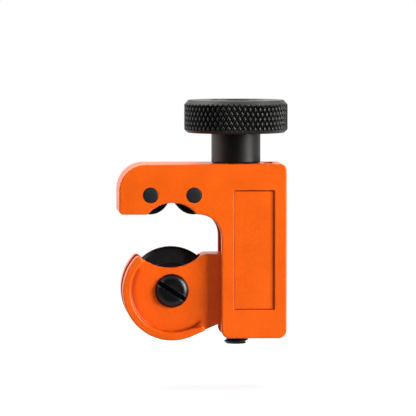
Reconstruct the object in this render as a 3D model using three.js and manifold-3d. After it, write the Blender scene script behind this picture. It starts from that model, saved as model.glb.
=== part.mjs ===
// Mini tube cutter: a C-shaped die-cast frame with two rollers in its arm, and a slide that carries the
// cutter wheel up and down the frame's hollow column on a captive right-hand feed screw.
//
// Millimetres, +Z up along the feed screw, the frame's front face towards -Y. While it is drawn, x = 0 and
// y = 0 are the feed screw's axis and z = 0 is the frame's bottom face; the finished tool is then moved so
// that its origin is the middle of the bottom of its box.

import * as THREE from "three";
import { mergeVertices } from "three/addons/utils/BufferGeometryUtils.js";
import Module from "manifold-3d";

const wasm = await Module();
wasm.setup();

// ---------------------------------------------------------------------------------------------------
// Driving dimensions
// ---------------------------------------------------------------------------------------------------

// How far the flats of a curved face may lie from the true curve, and the flats of one thread turn.
const FACET = 0.025;
const THREAD_FLATS = 16;
// Whole turns that a threaded bar is made too long at each end, before it is cut to length.
const SPARE_TURNS = 2;
// How far a cutting tool runs past the face that it opens.
const THROUGH = 1;
// Points closer together than this are one point.
const WELD = 1e-4;

// Named clearances, each the gap that is left on one side.
const clearance = {
  running: 0.1, // a piece that turns on or against another
  pressed: 0.03, // a piece driven into its hole
  seated: 0.05, // a head, clip or knob against the face that it is tightened on
  sliding: 0.2, // the slide in the frame's channel
  thread: 0.12, // between the flanks of the feed screw and of its tapped hole
  fixedThread: 0.05, // between the flanks of the wheel screw and of its tapped hole
  rollerSide: 0.3, // the rollers' ends to the arm's walls
  rollerRoof: 0.3,
  rollerEndWall: 0.4,
  rollerPair: 0.4, // from each roller to the middle between them
  wheelSide: 0.15, // the wheel's hub to each cheek of its slot
  wheelEdge: 0.4, // the wheel's edge to the closed end of its slot
  clipSide: 0.5, // the clip's washer to the channel's walls
};

const frame = {
  right: 10.1, // back of the spine
  height: 36.1,
  depth: 14,
  columnLeft: -3.4, // open edge of the column
  wall: 2.2, // front and back walls
  roof: 2,
  spine: 2,
  endWall: 2,
  cornerArmTop: 5.6,
  cornerArmBottom: 0.9,
  cornerTopRight: 1.3,
  cornerFoot: 1.7,
  cornerInside: 0.65,
  throat: 4.8, // inside corner between arm and column
};

const notch = { radius: 6.6, rise: 2.4, blend: 0.5 };

const panel = { sideMargin: 2.5, bottomMargin: 5.9, topMargin: 5.4, depth: 0.4, corner: 0.35 };

const roofSlot = { spineMargin: 2.4, width: 1.9, sideMargin: 0.9 };

const roller = {
  radius: 4.1,
  chamfer: 0.3,
  showing: 0.1, // how far the rollers stand out below the arm
};

const rollerPin = { radius: 1.6, chamfer: 0.15 };

const slide = {
  axleHeight: 9.8, // where the slide stands at rest: everything on it is measured from the axle
  screwWall: 1.6, // between the wheel's slot and the feed screw's thread
  cover: 1.2, // how far the round end reaches past the wheel's edge
  lowerSlope: THREE.MathUtils.degToRad(23.5),
  topAboveAxle: 7.6,
  blockBottomBelowAxle: 5.8,
  blockChamfer: 0.6,
  shoulder: 2.6, // rounding between the flat top and the saddle
  saddleRadius: 9.45,
  saddleX: -0.4, // centre of the saddle's curve from the axle
  saddleZ: 14.2,
  slotMouth: 5, // how far right of the axle the wheel's slot is open below
};

const rim = {
  proud: 2, // how far it stands out of the cheek
  width: 1.6,
  endX: 6.8, // its lower end, right of the axle
  endWidth: 1.05,
};

const wheel = {
  radius: 9,
  hubRadius: 6.1,
  hubWidth: 5,
  webHalf: 1.15, // half thickness of the blade where it leaves the hub
  bevelWidth: 0.45,
  bevelHalf: 0.6, // half thickness of the blade where the bevel starts
};

const wheelScrew = {
  headRadius: 3.5,
  headHeight: 1,
  headRounding: 0.6,
  shoulderRadius: 2.4,
  slotWidth: 1,
  slotDepth: 0.6,
  slotTurn: THREE.MathUtils.degToRad(33),
  endChamfer: 0.3,
};

// Both threads have 60 degree flanks. The crest is the outside radius.
const feedThread = { crest: 2.6, depth: 0.6, pitch: 1.25 };
const fixedThread = { crest: 2, depth: 0.38, pitch: 0.7 };

const feedScrew = {
  below: 1.5, // how far its end stands out of the frame
  relief: 0.1, // how far its plain shank lies below the thread's crest
  plainBelowRoof: 2.2, // unthreaded length under the roof
  endChamfer: 0.6,
  grooveDepth: 0.55,
};

const knob = {
  radius: 10.75,
  height: 6.8,
  neckRadius: 5.1,
  neckHeight: 6.2,
  neckChamfer: 0.3,
  topChamfer: 0.85,
  topChamferHeight: 0.95,
  bottomChamfer: 0.7,
  dishRadius: 5.8,
  dishDepth: 0.8,
  dishSlope: 0.6,
  boreDepth: 10,
};

const clipWasher = { thickness: 0.5, proudOfClip: 0.1 };

const clip = {
  thickness: 0.8,
  recess: 0.5, // from the shank out to the clip's ring, between its lugs
  mouthShare: 0.86, // width of the mouth as a share of the groove's diameter
  lugHalfAngle: 0.35,
};

// ---------------------------------------------------------------------------------------------------
// Worked-out places
// ---------------------------------------------------------------------------------------------------

const front = -frame.depth / 2;
const back = frame.depth / 2;
const cavityHalf = frame.depth / 2 - frame.wall;
const roofUnder = frame.height - frame.roof;
const cavityRight = frame.right - frame.spine;

const slotRadius = wheel.radius + clearance.wheelEdge;
const axleX = -feedThread.crest - slide.screwWall - slotRadius;
const axleZ = slide.axleHeight;
const outerRadius = wheel.radius + slide.cover;
const rimInner = outerRadius - rim.width;

// The rollers stand astride the wheel, and the arm's hollow is as large as they need.
const rollerReach = roller.radius + clearance.rollerPair;
const rollerXs = [axleX - rollerReach, axleX + rollerReach];
const rollerZ = roofUnder - clearance.rollerRoof - roller.radius;
const rollerHalf = cavityHalf - clearance.rollerSide;
const cavityLeft = rollerXs[0] - roller.radius - clearance.rollerEndWall;
const frameLeft = cavityLeft - frame.endWall;
const armUnder = rollerZ - roller.radius + roller.showing;

const slideHalf = cavityHalf - clearance.sliding;
const slotHalf = wheel.hubWidth / 2 + clearance.wheelSide;
const rimFace = slideHalf + rim.proud;
const slideTop = axleZ + slide.topAboveAxle;
const blockBottom = axleZ - slide.blockBottomBelowAxle;
const blockRight = cavityRight - clearance.sliding;

const neckBottom = frame.height + clearance.running;
const knobBottom = neckBottom + knob.neckHeight;
const knobTop = knobBottom + knob.height;
const boreTop = neckBottom + knob.boreDepth;
const shankTop = boreTop - clearance.seated;
const washerTop = roofUnder - clearance.running;
const clipTop = washerTop - clipWasher.thickness - clearance.seated;
const clipBottom = clipTop - clip.thickness;
const threadTop = roofUnder - feedScrew.plainBelowRoof;
const shankRadius = feedThread.crest - feedScrew.relief;
const grooveRadius = shankRadius - feedScrew.grooveDepth;
const washerRadius = cavityHalf - clearance.clipSide;
const clipRadius = washerRadius - clipWasher.proudOfClip;

// ---------------------------------------------------------------------------------------------------
// Shape helpers
// ---------------------------------------------------------------------------------------------------

const point = (x, z) => new THREE.Vector2(x, z);

const onCircle = (centre, radius, angle) =>
  point(centre.x + radius * Math.cos(angle), centre.y + radius * Math.sin(angle));

const angleFrom = (centre, place) => Math.atan2(place.y - centre.y, place.x - centre.x);

const flatsOf = (radius) => 4 * Math.ceil(Math.PI / (4 * Math.acos(1 - FACET / radius)));

/** Points along a circular arc from one angle to another, clockwise where the angle falls. */
function arc(centre, radius, from, to) {
  const steps = Math.max(2, Math.ceil((flatsOf(radius) * Math.abs(to - from)) / (2 * Math.PI)));
  const curve = new THREE.EllipseCurve(centre.x, centre.y, radius, radius, from, to, to < from);
  return curve.getPoints(steps);
}

/** Where two circles cross, on the left of the line from the first centre to the second. */
function crossing(centreA, radiusA, centreB, radiusB) {
  const along = centreB.clone().sub(centreA);
  const apart = along.length();
  along.divideScalar(apart);
  const reach = (apart ** 2 + radiusA ** 2 - radiusB ** 2) / (2 * apart);
  const aside = Math.sqrt(radiusA ** 2 - reach ** 2);
  return point(
    centreA.x + along.x * reach - along.y * aside,
    centreA.y + along.y * reach + along.x * aside,
  );
}

/** Outline of a polygon given anticlockwise as [x, z, radius] corners, each rounded to its radius. */
function rounded(corners) {
  return corners.flatMap(([x, z, radius], i) => {
    const corner = point(x, z);
    const [xIn, zIn] = corners.at(i - 1);
    const [xOut, zOut] = corners[(i + 1) % corners.length];
    const towardsIn = point(xIn, zIn).sub(corner).normalize();
    const towardsOut = point(xOut, zOut).sub(corner).normalize();
    const half = Math.acos(towardsIn.dot(towardsOut)) / 2;
    const turn = Math.sign(towardsOut.cross(towardsIn));
    const centre = towardsIn.clone().add(towardsOut).normalize();
    centre.multiplyScalar(radius / Math.sin(half)).add(corner);
    const start = corner.clone().addScaledVector(towardsIn, radius / Math.tan(half));
    const from = angleFrom(centre, start);
    return arc(centre, radius, from, from + turn * (Math.PI - 2 * half));
  });
}

/** A closed three.js geometry as a solid that can be joined and cut. */
function solidOf(geometry) {
  const bare = geometry.index ? geometry.toNonIndexed() : geometry.clone();
  bare.deleteAttribute("normal");
  bare.deleteAttribute("uv");
  const merged = mergeVertices(bare, WELD);
  const mesh = new wasm.Mesh({
    numProp: 3,
    vertProperties: new Float32Array(merged.attributes.position.array),
    triVerts: new Uint32Array(merged.index.array),
  });
  return new wasm.Manifold(mesh);
}

/** A solid back as a flat-shaded three.js geometry. */
function geometryOf(solid) {
  const { numProp, vertProperties, triVerts } = solid.getMesh();
  const places = new Float32Array((vertProperties.length / numProp) * 3);
  for (let i = 0; i < places.length / 3; i++) {
    places.set(vertProperties.subarray(i * numProp, i * numProp + 3), i * 3);
  }
  const geometry = new THREE.BufferGeometry();
  geometry.setAttribute("position", new THREE.BufferAttribute(places, 3));
  geometry.setIndex(new THREE.BufferAttribute(new Uint32Array(triVerts), 1));
  const faceted = geometry.toNonIndexed();
  faceted.computeVertexNormals();
  return faceted;
}

const joined = (solids) => solids.reduce((whole, piece) => whole.add(piece));

const cut = (solid, tools) => tools.reduce((rest, tool) => rest.subtract(tool), solid);

/** A plate with an outline in x and z, between two values of y. */
function plate(outline, yLow, yHigh) {
  const geometry = new THREE.ExtrudeGeometry(new THREE.Shape(outline), {
    depth: yHigh - yLow,
    bevelEnabled: false,
  });
  // The outline's second axis turns up to z, and the extrusion runs from yHigh back to yLow.
  return solidOf(geometry.rotateX(Math.PI / 2).translate(0, yHigh, 0));
}

/** A block between two corners. */
function block(low, high) {
  const size = high.map((value, i) => value - low[i]);
  const geometry = new THREE.BoxGeometry(...size);
  geometry.translate(...low.map((value, i) => value + size[i] / 2));
  return solidOf(geometry);
}

/** A body turned about the y axis from [radius, y] points, with as many flats as its widest point needs. */
function turnedAboutY(profile) {
  const widest = Math.max(...profile.map(([radius]) => radius));
  const points = profile.map(([radius, y]) => point(radius, y));
  return solidOf(new THREE.LatheGeometry(points, flatsOf(widest)));
}

/** The same, turned about the z axis from [radius, z] points. */
function turnedAboutZ(profile) {
  return solidOf(geometryOf(turnedAboutY(profile)).rotateX(Math.PI / 2));
}

const moved = (solid, x, z) => solidOf(geometryOf(solid).translate(x, 0, z));

/** A round bar along y from yLow to yHigh, standing at x and z. */
function barAlongY(radius, yLow, yHigh, x, z) {
  return moved(turnedAboutY([[0, yLow], [radius, yLow], [radius, yHigh], [0, yHigh]]), x, z);
}

/**
 * A right-hand threaded bar about the z axis. Its surface is a strip of four lines that climb one pitch a
 * turn: the start and end of the root and of the crest. Each turn's last column joins the first column four
 * lines on. Both ends are closed to a point on the axis, so the bar is made long and then cut to length.
 * gap grows the bar all over, for cutting a tapped hole that clears the same thread.
 */
function threadedBar(thread, zLow, zHigh, gap = 0) {
  const tanFlank = Math.tan(Math.PI / 6);
  const flank = thread.depth * tanFlank;
  const flat = thread.pitch / 2 - flank;
  const widen = gap * tanFlank;
  const root = thread.crest - thread.depth + gap;
  const crest = thread.crest + gap;
  const lines = [
    [root, widen],
    [root, flat - widen],
    [crest, flat + flank - widen],
    [crest, 2 * flat + flank + widen],
  ];
  // Every bar starts on a whole number of pitches, so that a bar and its tapped hole are in step.
  const firstTurn = Math.floor(zLow / thread.pitch) - SPARE_TURNS;
  const turns = Math.ceil(zHigh / thread.pitch) + SPARE_TURNS - firstTurn;
  const base = firstTurn * thread.pitch;
  const rows = turns * lines.length;
  const places = [];
  for (let row = 0; row <= rows; row++) {
    const [radius, rise] = lines[row % lines.length];
    const foot = base + rise + Math.floor(row / lines.length) * thread.pitch;
    for (let column = 0; column < THREAD_FLATS; column++) {
      const angle = (2 * Math.PI * column) / THREAD_FLATS;
      const climb = (thread.pitch * column) / THREAD_FLATS;
      places.push(radius * Math.cos(angle), radius * Math.sin(angle), foot + climb);
    }
  }
  const at = (row, column) =>
    column < THREAD_FLATS ? row * THREAD_FLATS + column : (row + lines.length) * THREAD_FLATS;
  const faces = [];
  for (let column = 0; column < THREAD_FLATS; column++) {
    const last = column === THREAD_FLATS - 1 ? rows - lines.length : rows;
    for (let row = 0; row < last; row++) {
      const [a, b] = [at(row, column), at(row, column + 1)];
      const [c, d] = [at(row + 1, column + 1), at(row + 1, column)];
      faces.push(a, b, c, a, c, d);
    }
  }
  const columns = [...Array(THREAD_FLATS).keys()];
  const seam = [1, 2, 3, 4];
  const lowEdge = [...columns.map((column) => at(0, column)), ...seam.map((row) => at(row, 0)).reverse()];
  const highEdge = [
    ...columns.map((column) => at(rows, column)),
    ...seam.map((row) => at(rows - row, THREAD_FLATS - 1)),
  ];
  const lowTip = places.length / 3;
  places.push(0, 0, base - SPARE_TURNS * thread.pitch);
  const highTip = places.length / 3;
  places.push(0, 0, base + (turns + SPARE_TURNS) * thread.pitch);
  lowEdge.forEach((vertex, i) => faces.push(lowTip, lowEdge[(i + 1) % lowEdge.length], vertex));
  highEdge.forEach((vertex, i) => faces.push(highTip, vertex, highEdge[(i + 1) % highEdge.length]));
  const geometry = new THREE.BufferGeometry();
  geometry.setAttribute("position", new THREE.Float32BufferAttribute(places, 3));
  geometry.setIndex(faces);
  return solidOf(geometry);
}

/** The same bar laid along +Y, cut to length by its turned outline of [radius, y] points. */
function threadedAlongY(thread, yLow, yHigh, gap, outline) {
  const bar = solidOf(geometryOf(threadedBar(thread, yLow, yHigh, gap)).rotateX(-Math.PI / 2));
  return bar.intersect(turnedAboutY(outline));
}

// ---------------------------------------------------------------------------------------------------
// Frame
// ---------------------------------------------------------------------------------------------------

/** The C, with the round notch between the rollers blended into the arm's underside. */
function frameOutline() {
  const centre = point(axleX, armUnder + notch.rise - notch.radius);
  const reach = notch.radius + notch.blend;
  const drop = armUnder + notch.blend - centre.y;
  const aside = Math.sqrt(reach ** 2 - drop ** 2);
  const leftBlend = point(centre.x - aside, armUnder + notch.blend);
  const rightBlend = point(centre.x + aside, armUnder + notch.blend);
  const down = -Math.PI / 2;
  const leftTouch = angleFrom(leftBlend, centre);
  const rightTouch = angleFrom(rightBlend, centre) + 2 * Math.PI;
  const notchEdge = [
    ...arc(leftBlend, notch.blend, down, leftTouch),
    ...arc(centre, notch.radius, leftTouch + Math.PI, rightTouch - Math.PI),
    ...arc(rightBlend, notch.blend, rightTouch, down + 2 * Math.PI),
  ];
  const corners = rounded([
    [frameLeft, armUnder, frame.cornerArmBottom],
    [frame.columnLeft, armUnder, frame.throat],
    [frame.columnLeft, 0, frame.cornerFoot],
    [frame.right, 0, frame.cornerFoot],
    [frame.right, frame.height, frame.cornerTopRight],
    [frameLeft, frame.height, frame.cornerArmTop],
  ]);
  const afterFirst = corners.findIndex((place) => place.x > axleX);
  return [...corners.slice(0, afterFirst), ...notchEdge, ...corners.slice(afterFirst)];
}

/** The hollow: open below the arm and at the left and bottom of the column. */
function frameCavity() {
  const inside = frame.cornerArmTop - frame.endWall;
  const outline = rounded([
    [cavityLeft, -THROUGH, frame.cornerInside],
    [cavityRight, -THROUGH, frame.cornerInside],
    [cavityRight, roofUnder, frame.cornerInside],
    [cavityLeft, roofUnder, inside],
  ]);
  return plate(outline, -cavityHalf, cavityHalf);
}

/** The sunken panel in the column, on the front or the back. */
function panelRecess(yLow, yHigh) {
  const outline = rounded([
    [frame.columnLeft + panel.sideMargin, panel.bottomMargin, panel.corner],
    [frame.right - panel.sideMargin, panel.bottomMargin, panel.corner],
    [frame.right - panel.sideMargin, frame.height - panel.topMargin, panel.corner],
    [frame.columnLeft + panel.sideMargin, frame.height - panel.topMargin, panel.corner],
  ]);
  return plate(outline, yLow, yHigh);
}

function makeFrame() {
  const screwHole = feedThread.crest + clearance.running;
  const slotRight = frame.right - roofSlot.spineMargin;
  const slotSide = cavityHalf - roofSlot.sideMargin;
  const aboveTop = frame.height + THROUGH;
  const roofLow = roofUnder - THROUGH;
  const holeRadius = rollerPin.radius + clearance.pressed;
  return cut(plate(frameOutline(), front, back), [
    frameCavity(),
    panelRecess(front - THROUGH, front + panel.depth),
    panelRecess(back - panel.depth, back + THROUGH),
    turnedAboutZ([[0, roofLow], [screwHole, roofLow], [screwHole, aboveTop], [0, aboveTop]]),
    block([slotRight - roofSlot.width, -slotSide, roofLow], [slotRight, slotSide, aboveTop]),
    ...rollerXs.map((x) => barAlongY(holeRadius, front - THROUGH, back + THROUGH, x, rollerZ)),
  ]);
}

// ---------------------------------------------------------------------------------------------------
// Rollers and their pins
// ---------------------------------------------------------------------------------------------------

function makeRoller() {
  const bore = rollerPin.radius + clearance.running;
  const edge = roller.radius - roller.chamfer;
  return turnedAboutY([
    [bore, -rollerHalf],
    [edge, -rollerHalf],
    [roller.radius, roller.chamfer - rollerHalf],
    [roller.radius, rollerHalf - roller.chamfer],
    [edge, rollerHalf],
    [bore, rollerHalf],
    [bore, -rollerHalf],
  ]);
}

function makeRollerPin() {
  const edge = rollerPin.radius - rollerPin.chamfer;
  return turnedAboutY([
    [0, front],
    [edge, front],
    [rollerPin.radius, front + rollerPin.chamfer],
    [rollerPin.radius, back - rollerPin.chamfer],
    [edge, back],
    [0, back],
  ]);
}

// ---------------------------------------------------------------------------------------------------
// Slide
// ---------------------------------------------------------------------------------------------------

const axleCentre = point(axleX, axleZ);
const saddleCentre = point(axleX + slide.saddleX, axleZ + slide.saddleZ);
// The lower edge leaves the round end where the circle's tangent has the edge's slope.
const lowerTouch = slide.lowerSlope - Math.PI / 2;
const lowerStart = onCircle(axleCentre, outerRadius, lowerTouch);
const lowerEdgeAt = (x) => point(x, lowerStart.y + (x - lowerStart.x) * Math.tan(slide.lowerSlope));

/** Side view of the slide: round end, sloping lower edge, threaded block, flat top and saddle. */
function slideOutline() {
  const tip = crossing(axleCentre, outerRadius, saddleCentre, slide.saddleRadius);
  const shoulderDrop = saddleCentre.y - slideTop + slide.shoulder;
  const shoulderReach = slide.saddleRadius + slide.shoulder;
  const shoulderX = saddleCentre.x + Math.sqrt(shoulderReach ** 2 - shoulderDrop ** 2);
  const shoulderCentre = point(shoulderX, slideTop - slide.shoulder);
  const shoulderTouch = angleFrom(shoulderCentre, saddleCentre);
  const saddleEnd = angleFrom(saddleCentre, tip);
  const blockLeft = lowerStart.x + (blockBottom - lowerStart.y) / Math.tan(slide.lowerSlope);
  return [
    ...arc(axleCentre, outerRadius, angleFrom(axleCentre, tip), lowerTouch + 2 * Math.PI),
    point(blockLeft, blockBottom),
    point(blockRight - slide.blockChamfer, blockBottom),
    point(blockRight, blockBottom + slide.blockChamfer),
    point(blockRight, slideTop - slide.blockChamfer),
    point(blockRight - slide.blockChamfer, slideTop),
    ...arc(shoulderCentre, slide.shoulder, Math.PI / 2, shoulderTouch),
    ...arc(saddleCentre, slide.saddleRadius, shoulderTouch - Math.PI, saddleEnd).slice(1, -1),
  ];
}

/** What is cut away beside the rim: all inside its inner edge, and all to the right of its lower end. */
function besideRimOutline() {
  const normal = point(-Math.sin(slide.lowerSlope), Math.cos(slide.lowerSlope));
  const outerEnd = lowerEdgeAt(axleX + rim.endX);
  const innerEnd = outerEnd.clone().addScaledVector(normal, rim.endWidth);
  const past = outerEnd.clone().addScaledVector(normal, -THROUGH);
  // The inner edge leaves its circle for a straight run to the end, where that run is a tangent.
  const spread = Math.acos(rimInner / innerEnd.distanceTo(axleCentre));
  const leave = angleFrom(axleCentre, innerEnd) - spread + 2 * Math.PI;
  const innerTip = crossing(axleCentre, rimInner, saddleCentre, slide.saddleRadius);
  return [
    saddleCentre,
    ...arc(axleCentre, rimInner, angleFrom(axleCentre, innerTip), leave),
    innerEnd,
    past,
    point(blockRight + THROUGH, past.y),
    point(blockRight + THROUGH, saddleCentre.y),
  ];
}

/** The wheel's slot: round the wheel on the right, open on the left, above and in front of its mouth. */
function wheelSlotOutline() {
  const outside = axleX - outerRadius - THROUGH;
  const below = axleZ - outerRadius - THROUGH;
  const mouth = Math.acos(slide.slotMouth / slotRadius);
  return [
    point(outside, below),
    point(axleX + slide.slotMouth, below),
    ...arc(axleCentre, slotRadius, -mouth, Math.PI / 2),
    point(outside, axleZ + slotRadius),
  ];
}

function makeSlide() {
  const outline = slideOutline();
  const besideRim = besideRimOutline();
  const tapped = threadedBar(feedThread, blockBottom - THROUGH, slideTop + THROUGH, clearance.thread);
  const tappedRadius = fixedThread.crest + THROUGH;
  const wheelTap = threadedAlongY(fixedThread, slotHalf, slideHalf, clearance.fixedThread, [
    [0, 0],
    [tappedRadius, 0],
    [tappedRadius, slideHalf + THROUGH],
    [0, slideHalf + THROUGH],
  ]);
  const shoulderHole = wheelScrew.shoulderRadius + clearance.running;
  return cut(plate(outline, -rimFace, rimFace), [
    plate(besideRim, -rimFace - THROUGH, -slideHalf),
    plate(besideRim, slideHalf, rimFace + THROUGH),
    plate(wheelSlotOutline(), -slotHalf, slotHalf),
    barAlongY(shoulderHole, -rimFace - THROUGH, 0, axleX, axleZ),
    moved(wheelTap, axleX, axleZ),
    tapped,
  ]);
}

// ---------------------------------------------------------------------------------------------------
// Cutter wheel and its screw
// ---------------------------------------------------------------------------------------------------

function makeWheel() {
  const bore = wheelScrew.shoulderRadius + clearance.running;
  const hub = wheel.hubWidth / 2;
  const half = [
    [bore, hub],
    [wheel.hubRadius, hub],
    [wheel.hubRadius, wheel.webHalf],
    [wheel.radius - wheel.bevelWidth, wheel.bevelHalf],
  ];
  const mirrored = half.map(([radius, y]) => [radius, -y]);
  return turnedAboutY([...mirrored, [wheel.radius, 0], ...half.reverse(), mirrored[0]]);
}

/** Slotted shoulder screw along y: its head outside the front cheek, its thread in the back cheek. */
function makeWheelScrew() {
  const under = -slideHalf - clearance.seated;
  const crown = under - wheelScrew.headHeight;
  const shoulderEnd = slotHalf - clearance.seated;
  const rounding = wheelScrew.headRounding;
  const crownEdge = point(wheelScrew.headRadius - rounding, crown + rounding);
  const edge = arc(crownEdge, rounding, -Math.PI / 2, 0).map(({ x, y }) => [x, y]);
  const core = fixedThread.crest - fixedThread.depth;
  const body = turnedAboutY([
    [0, crown],
    ...edge,
    [wheelScrew.headRadius, under],
    [wheelScrew.shoulderRadius, under],
    [wheelScrew.shoulderRadius, shoulderEnd],
    [core, shoulderEnd],
    [core, shoulderEnd + THROUGH],
    [0, shoulderEnd + THROUGH],
  ]);
  const tipRadius = fixedThread.crest - wheelScrew.endChamfer;
  const thread = threadedAlongY(fixedThread, slotHalf, slideHalf, 0, [
    [0, shoulderEnd],
    [fixedThread.crest + THROUGH, shoulderEnd],
    [fixedThread.crest + THROUGH, slideHalf - wheelScrew.endChamfer - THROUGH],
    [tipRadius, slideHalf],
    [0, slideHalf],
  ]);
  const reach = wheelScrew.headRadius + THROUGH;
  const across = new THREE.BoxGeometry(2 * reach, 2 * wheelScrew.slotDepth, wheelScrew.slotWidth);
  across.rotateY(wheelScrew.slotTurn);
  across.translate(0, crown, 0);
  return cut(joined([body, thread]), [solidOf(across)]);
}

// ---------------------------------------------------------------------------------------------------
// Feed screw, knob, washer and clip
// ---------------------------------------------------------------------------------------------------

function makeFeedScrew() {
  const { crest, depth } = feedThread;
  const { endChamfer } = feedScrew;
  const core = crest - depth;
  const thread = threadedBar(feedThread, -feedScrew.below, threadTop).intersect(
    turnedAboutZ([
      [0, -feedScrew.below],
      [crest - endChamfer, -feedScrew.below],
      [crest + THROUGH, endChamfer + THROUGH - feedScrew.below],
      [crest + THROUGH, threadTop - depth - THROUGH],
      [core, threadTop],
      [0, threadTop],
    ]),
  );
  const grooveLow = clipBottom - clearance.seated;
  const grooveHigh = clipTop + clearance.seated;
  const shank = turnedAboutZ([
    [0, threadTop - THROUGH],
    [core / 2, threadTop - THROUGH],
    [core / 2, threadTop],
    [shankRadius, threadTop],
    [shankRadius, grooveLow],
    [grooveRadius, grooveLow],
    [grooveRadius, grooveHigh],
    [shankRadius, grooveHigh],
    [shankRadius, shankTop],
    [0, shankTop],
  ]);
  return joined([thread, shank]);
}

function makeKnob() {
  const bore = shankRadius + clearance.pressed;
  const { radius, neckRadius, neckChamfer, topChamfer, bottomChamfer, dishRadius } = knob;
  return turnedAboutZ([
    [0, boreTop],
    [bore, boreTop],
    [bore, neckBottom],
    [neckRadius - neckChamfer, neckBottom],
    [neckRadius, neckBottom + neckChamfer],
    [neckRadius, knobBottom],
    [radius - bottomChamfer, knobBottom],
    [radius, knobBottom + bottomChamfer],
    [radius, knobTop - knob.topChamferHeight],
    [radius - topChamfer, knobTop],
    [dishRadius, knobTop],
    [dishRadius - knob.dishSlope, knobTop - knob.dishDepth],
    [0, knobTop - knob.dishDepth],
  ]);
}

function makeClipWasher() {
  const bore = feedThread.crest + clearance.running;
  const low = washerTop - clipWasher.thickness;
  return turnedAboutZ([
    [bore, low],
    [washerRadius, low],
    [washerRadius, washerTop],
    [bore, washerTop],
    [bore, low],
  ]);
}

/** E-shaped clip: a ring open on the +x side, with three lugs that reach into the screw's groove. */
function makeClip() {
  const centre = point(0, 0);
  const inner = grooveRadius + clearance.pressed;
  const recess = shankRadius + clip.recess;
  const halfMouth = clip.mouthShare * inner;
  const outerMouth = Math.asin(halfMouth / clipRadius);
  const innerMouth = Math.asin(halfMouth / inner);
  const lug = innerMouth + clip.lugHalfAngle;
  const around = 2 * Math.PI;
  const outline = [
    ...arc(centre, clipRadius, outerMouth, around - outerMouth),
    ...arc(centre, inner, around - innerMouth, around - lug),
    ...arc(centre, recess, around - lug, Math.PI + clip.lugHalfAngle),
    ...arc(centre, inner, Math.PI + clip.lugHalfAngle, Math.PI - clip.lugHalfAngle),
    ...arc(centre, recess, Math.PI - clip.lugHalfAngle, lug),
    ...arc(centre, inner, lug, innerMouth),
  ];
  const options = { depth: clip.thickness, bevelEnabled: false };
  const geometry = new THREE.ExtrudeGeometry(new THREE.Shape(outline), options);
  return solidOf(geometry.translate(0, 0, clipBottom));
}

// ---------------------------------------------------------------------------------------------------
// Assembly
// ---------------------------------------------------------------------------------------------------

const paint = new THREE.MeshStandardMaterial({ color: "#f8650f", roughness: 0.45, metalness: 0 });
const slidePaint = new THREE.MeshStandardMaterial({ color: "#f25c0c", roughness: 0.5, metalness: 0 });
const blackOxide = new THREE.MeshStandardMaterial({ color: "#1c1e1f", roughness: 0.45, metalness: 0.8 });
const wheelSteel = new THREE.MeshStandardMaterial({ color: "#2a2b2c", roughness: 0.35, metalness: 0.9 });
const pinSteel = new THREE.MeshStandardMaterial({ color: "#2f3133", roughness: 0.4, metalness: 0.8 });
const springSteel = new THREE.MeshStandardMaterial({ color: "#3a3b3d", roughness: 0.4, metalness: 0.9 });

/** One named piece, from its solid and its material, standing at x and z. */
function piece(name, solid, material, x = 0, z = 0) {
  const mesh = new THREE.Mesh(geometryOf(solid), material);
  mesh.name = name;
  mesh.position.set(x, 0, z);
  return mesh;
}

const arm = new THREE.Group();
["left", "right"].forEach((side, i) => {
  arm.add(piece(`roller_${side}`, makeRoller(), blackOxide, rollerXs[i], rollerZ));
  arm.add(piece(`roller_pin_${side}`, makeRollerPin(), pinSteel, rollerXs[i], rollerZ));
});

const carriage = new THREE.Group();
carriage.add(piece("slide", makeSlide(), slidePaint));
carriage.add(piece("cutter_wheel", makeWheel(), wheelSteel, axleX, axleZ));
carriage.add(piece("wheel_screw", makeWheelScrew(), blackOxide, axleX, axleZ));

const feed = new THREE.Group();
feed.add(piece("feed_screw", makeFeedScrew(), blackOxide));
feed.add(piece("knob", makeKnob(), blackOxide));
feed.add(piece("clip_washer", makeClipWasher(), springSteel));
feed.add(piece("retaining_clip", makeClip(), springSteel));

const tool = new THREE.Group();
tool.add(piece("frame", makeFrame(), paint), arm, carriage, feed);

// The origin is the middle of the bottom of the whole tool's box.
const box = new THREE.Box3().setFromObject(tool);
tool.position.set(-(box.min.x + box.max.x) / 2, -(box.min.y + box.max.y) / 2, -box.min.z);

export default tool;
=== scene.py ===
"""Mini tube cutter: the fine shape and the finish of every piece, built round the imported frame.

Sizes in this script are millimetres and are turned into metres when a mesh is made. +Z is up along the feed
screw, +X runs from the jaw towards the column's spine, and the front face looks along -Y. Outlines are drawn
in x and z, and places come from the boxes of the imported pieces.
"""

import logging
import math
from collections.abc import Callable, Sequence
from dataclasses import dataclass, field
from enum import Enum

import bmesh
import bpy
import numpy as np
from mathutils import Matrix, Vector


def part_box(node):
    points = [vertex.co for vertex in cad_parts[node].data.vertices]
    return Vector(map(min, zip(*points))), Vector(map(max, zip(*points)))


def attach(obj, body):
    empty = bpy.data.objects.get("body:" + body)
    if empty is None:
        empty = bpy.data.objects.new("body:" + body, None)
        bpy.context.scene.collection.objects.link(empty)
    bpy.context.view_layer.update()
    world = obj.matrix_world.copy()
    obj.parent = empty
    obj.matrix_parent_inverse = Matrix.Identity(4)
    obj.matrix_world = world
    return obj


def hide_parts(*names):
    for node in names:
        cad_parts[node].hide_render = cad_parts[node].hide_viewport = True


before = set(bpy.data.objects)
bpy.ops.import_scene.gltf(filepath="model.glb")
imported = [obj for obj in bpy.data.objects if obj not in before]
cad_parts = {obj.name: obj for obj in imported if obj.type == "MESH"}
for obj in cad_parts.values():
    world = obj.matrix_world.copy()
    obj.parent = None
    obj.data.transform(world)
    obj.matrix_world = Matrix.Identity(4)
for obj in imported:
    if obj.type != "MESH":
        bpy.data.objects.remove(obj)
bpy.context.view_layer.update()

LOG = logging.getLogger("tube_cutter")
MM = 0.001
WELD = 1e-5
ARC_STEP = math.radians(2.5)
THROUGH = 1.0
TURN = 2 * math.pi

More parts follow.
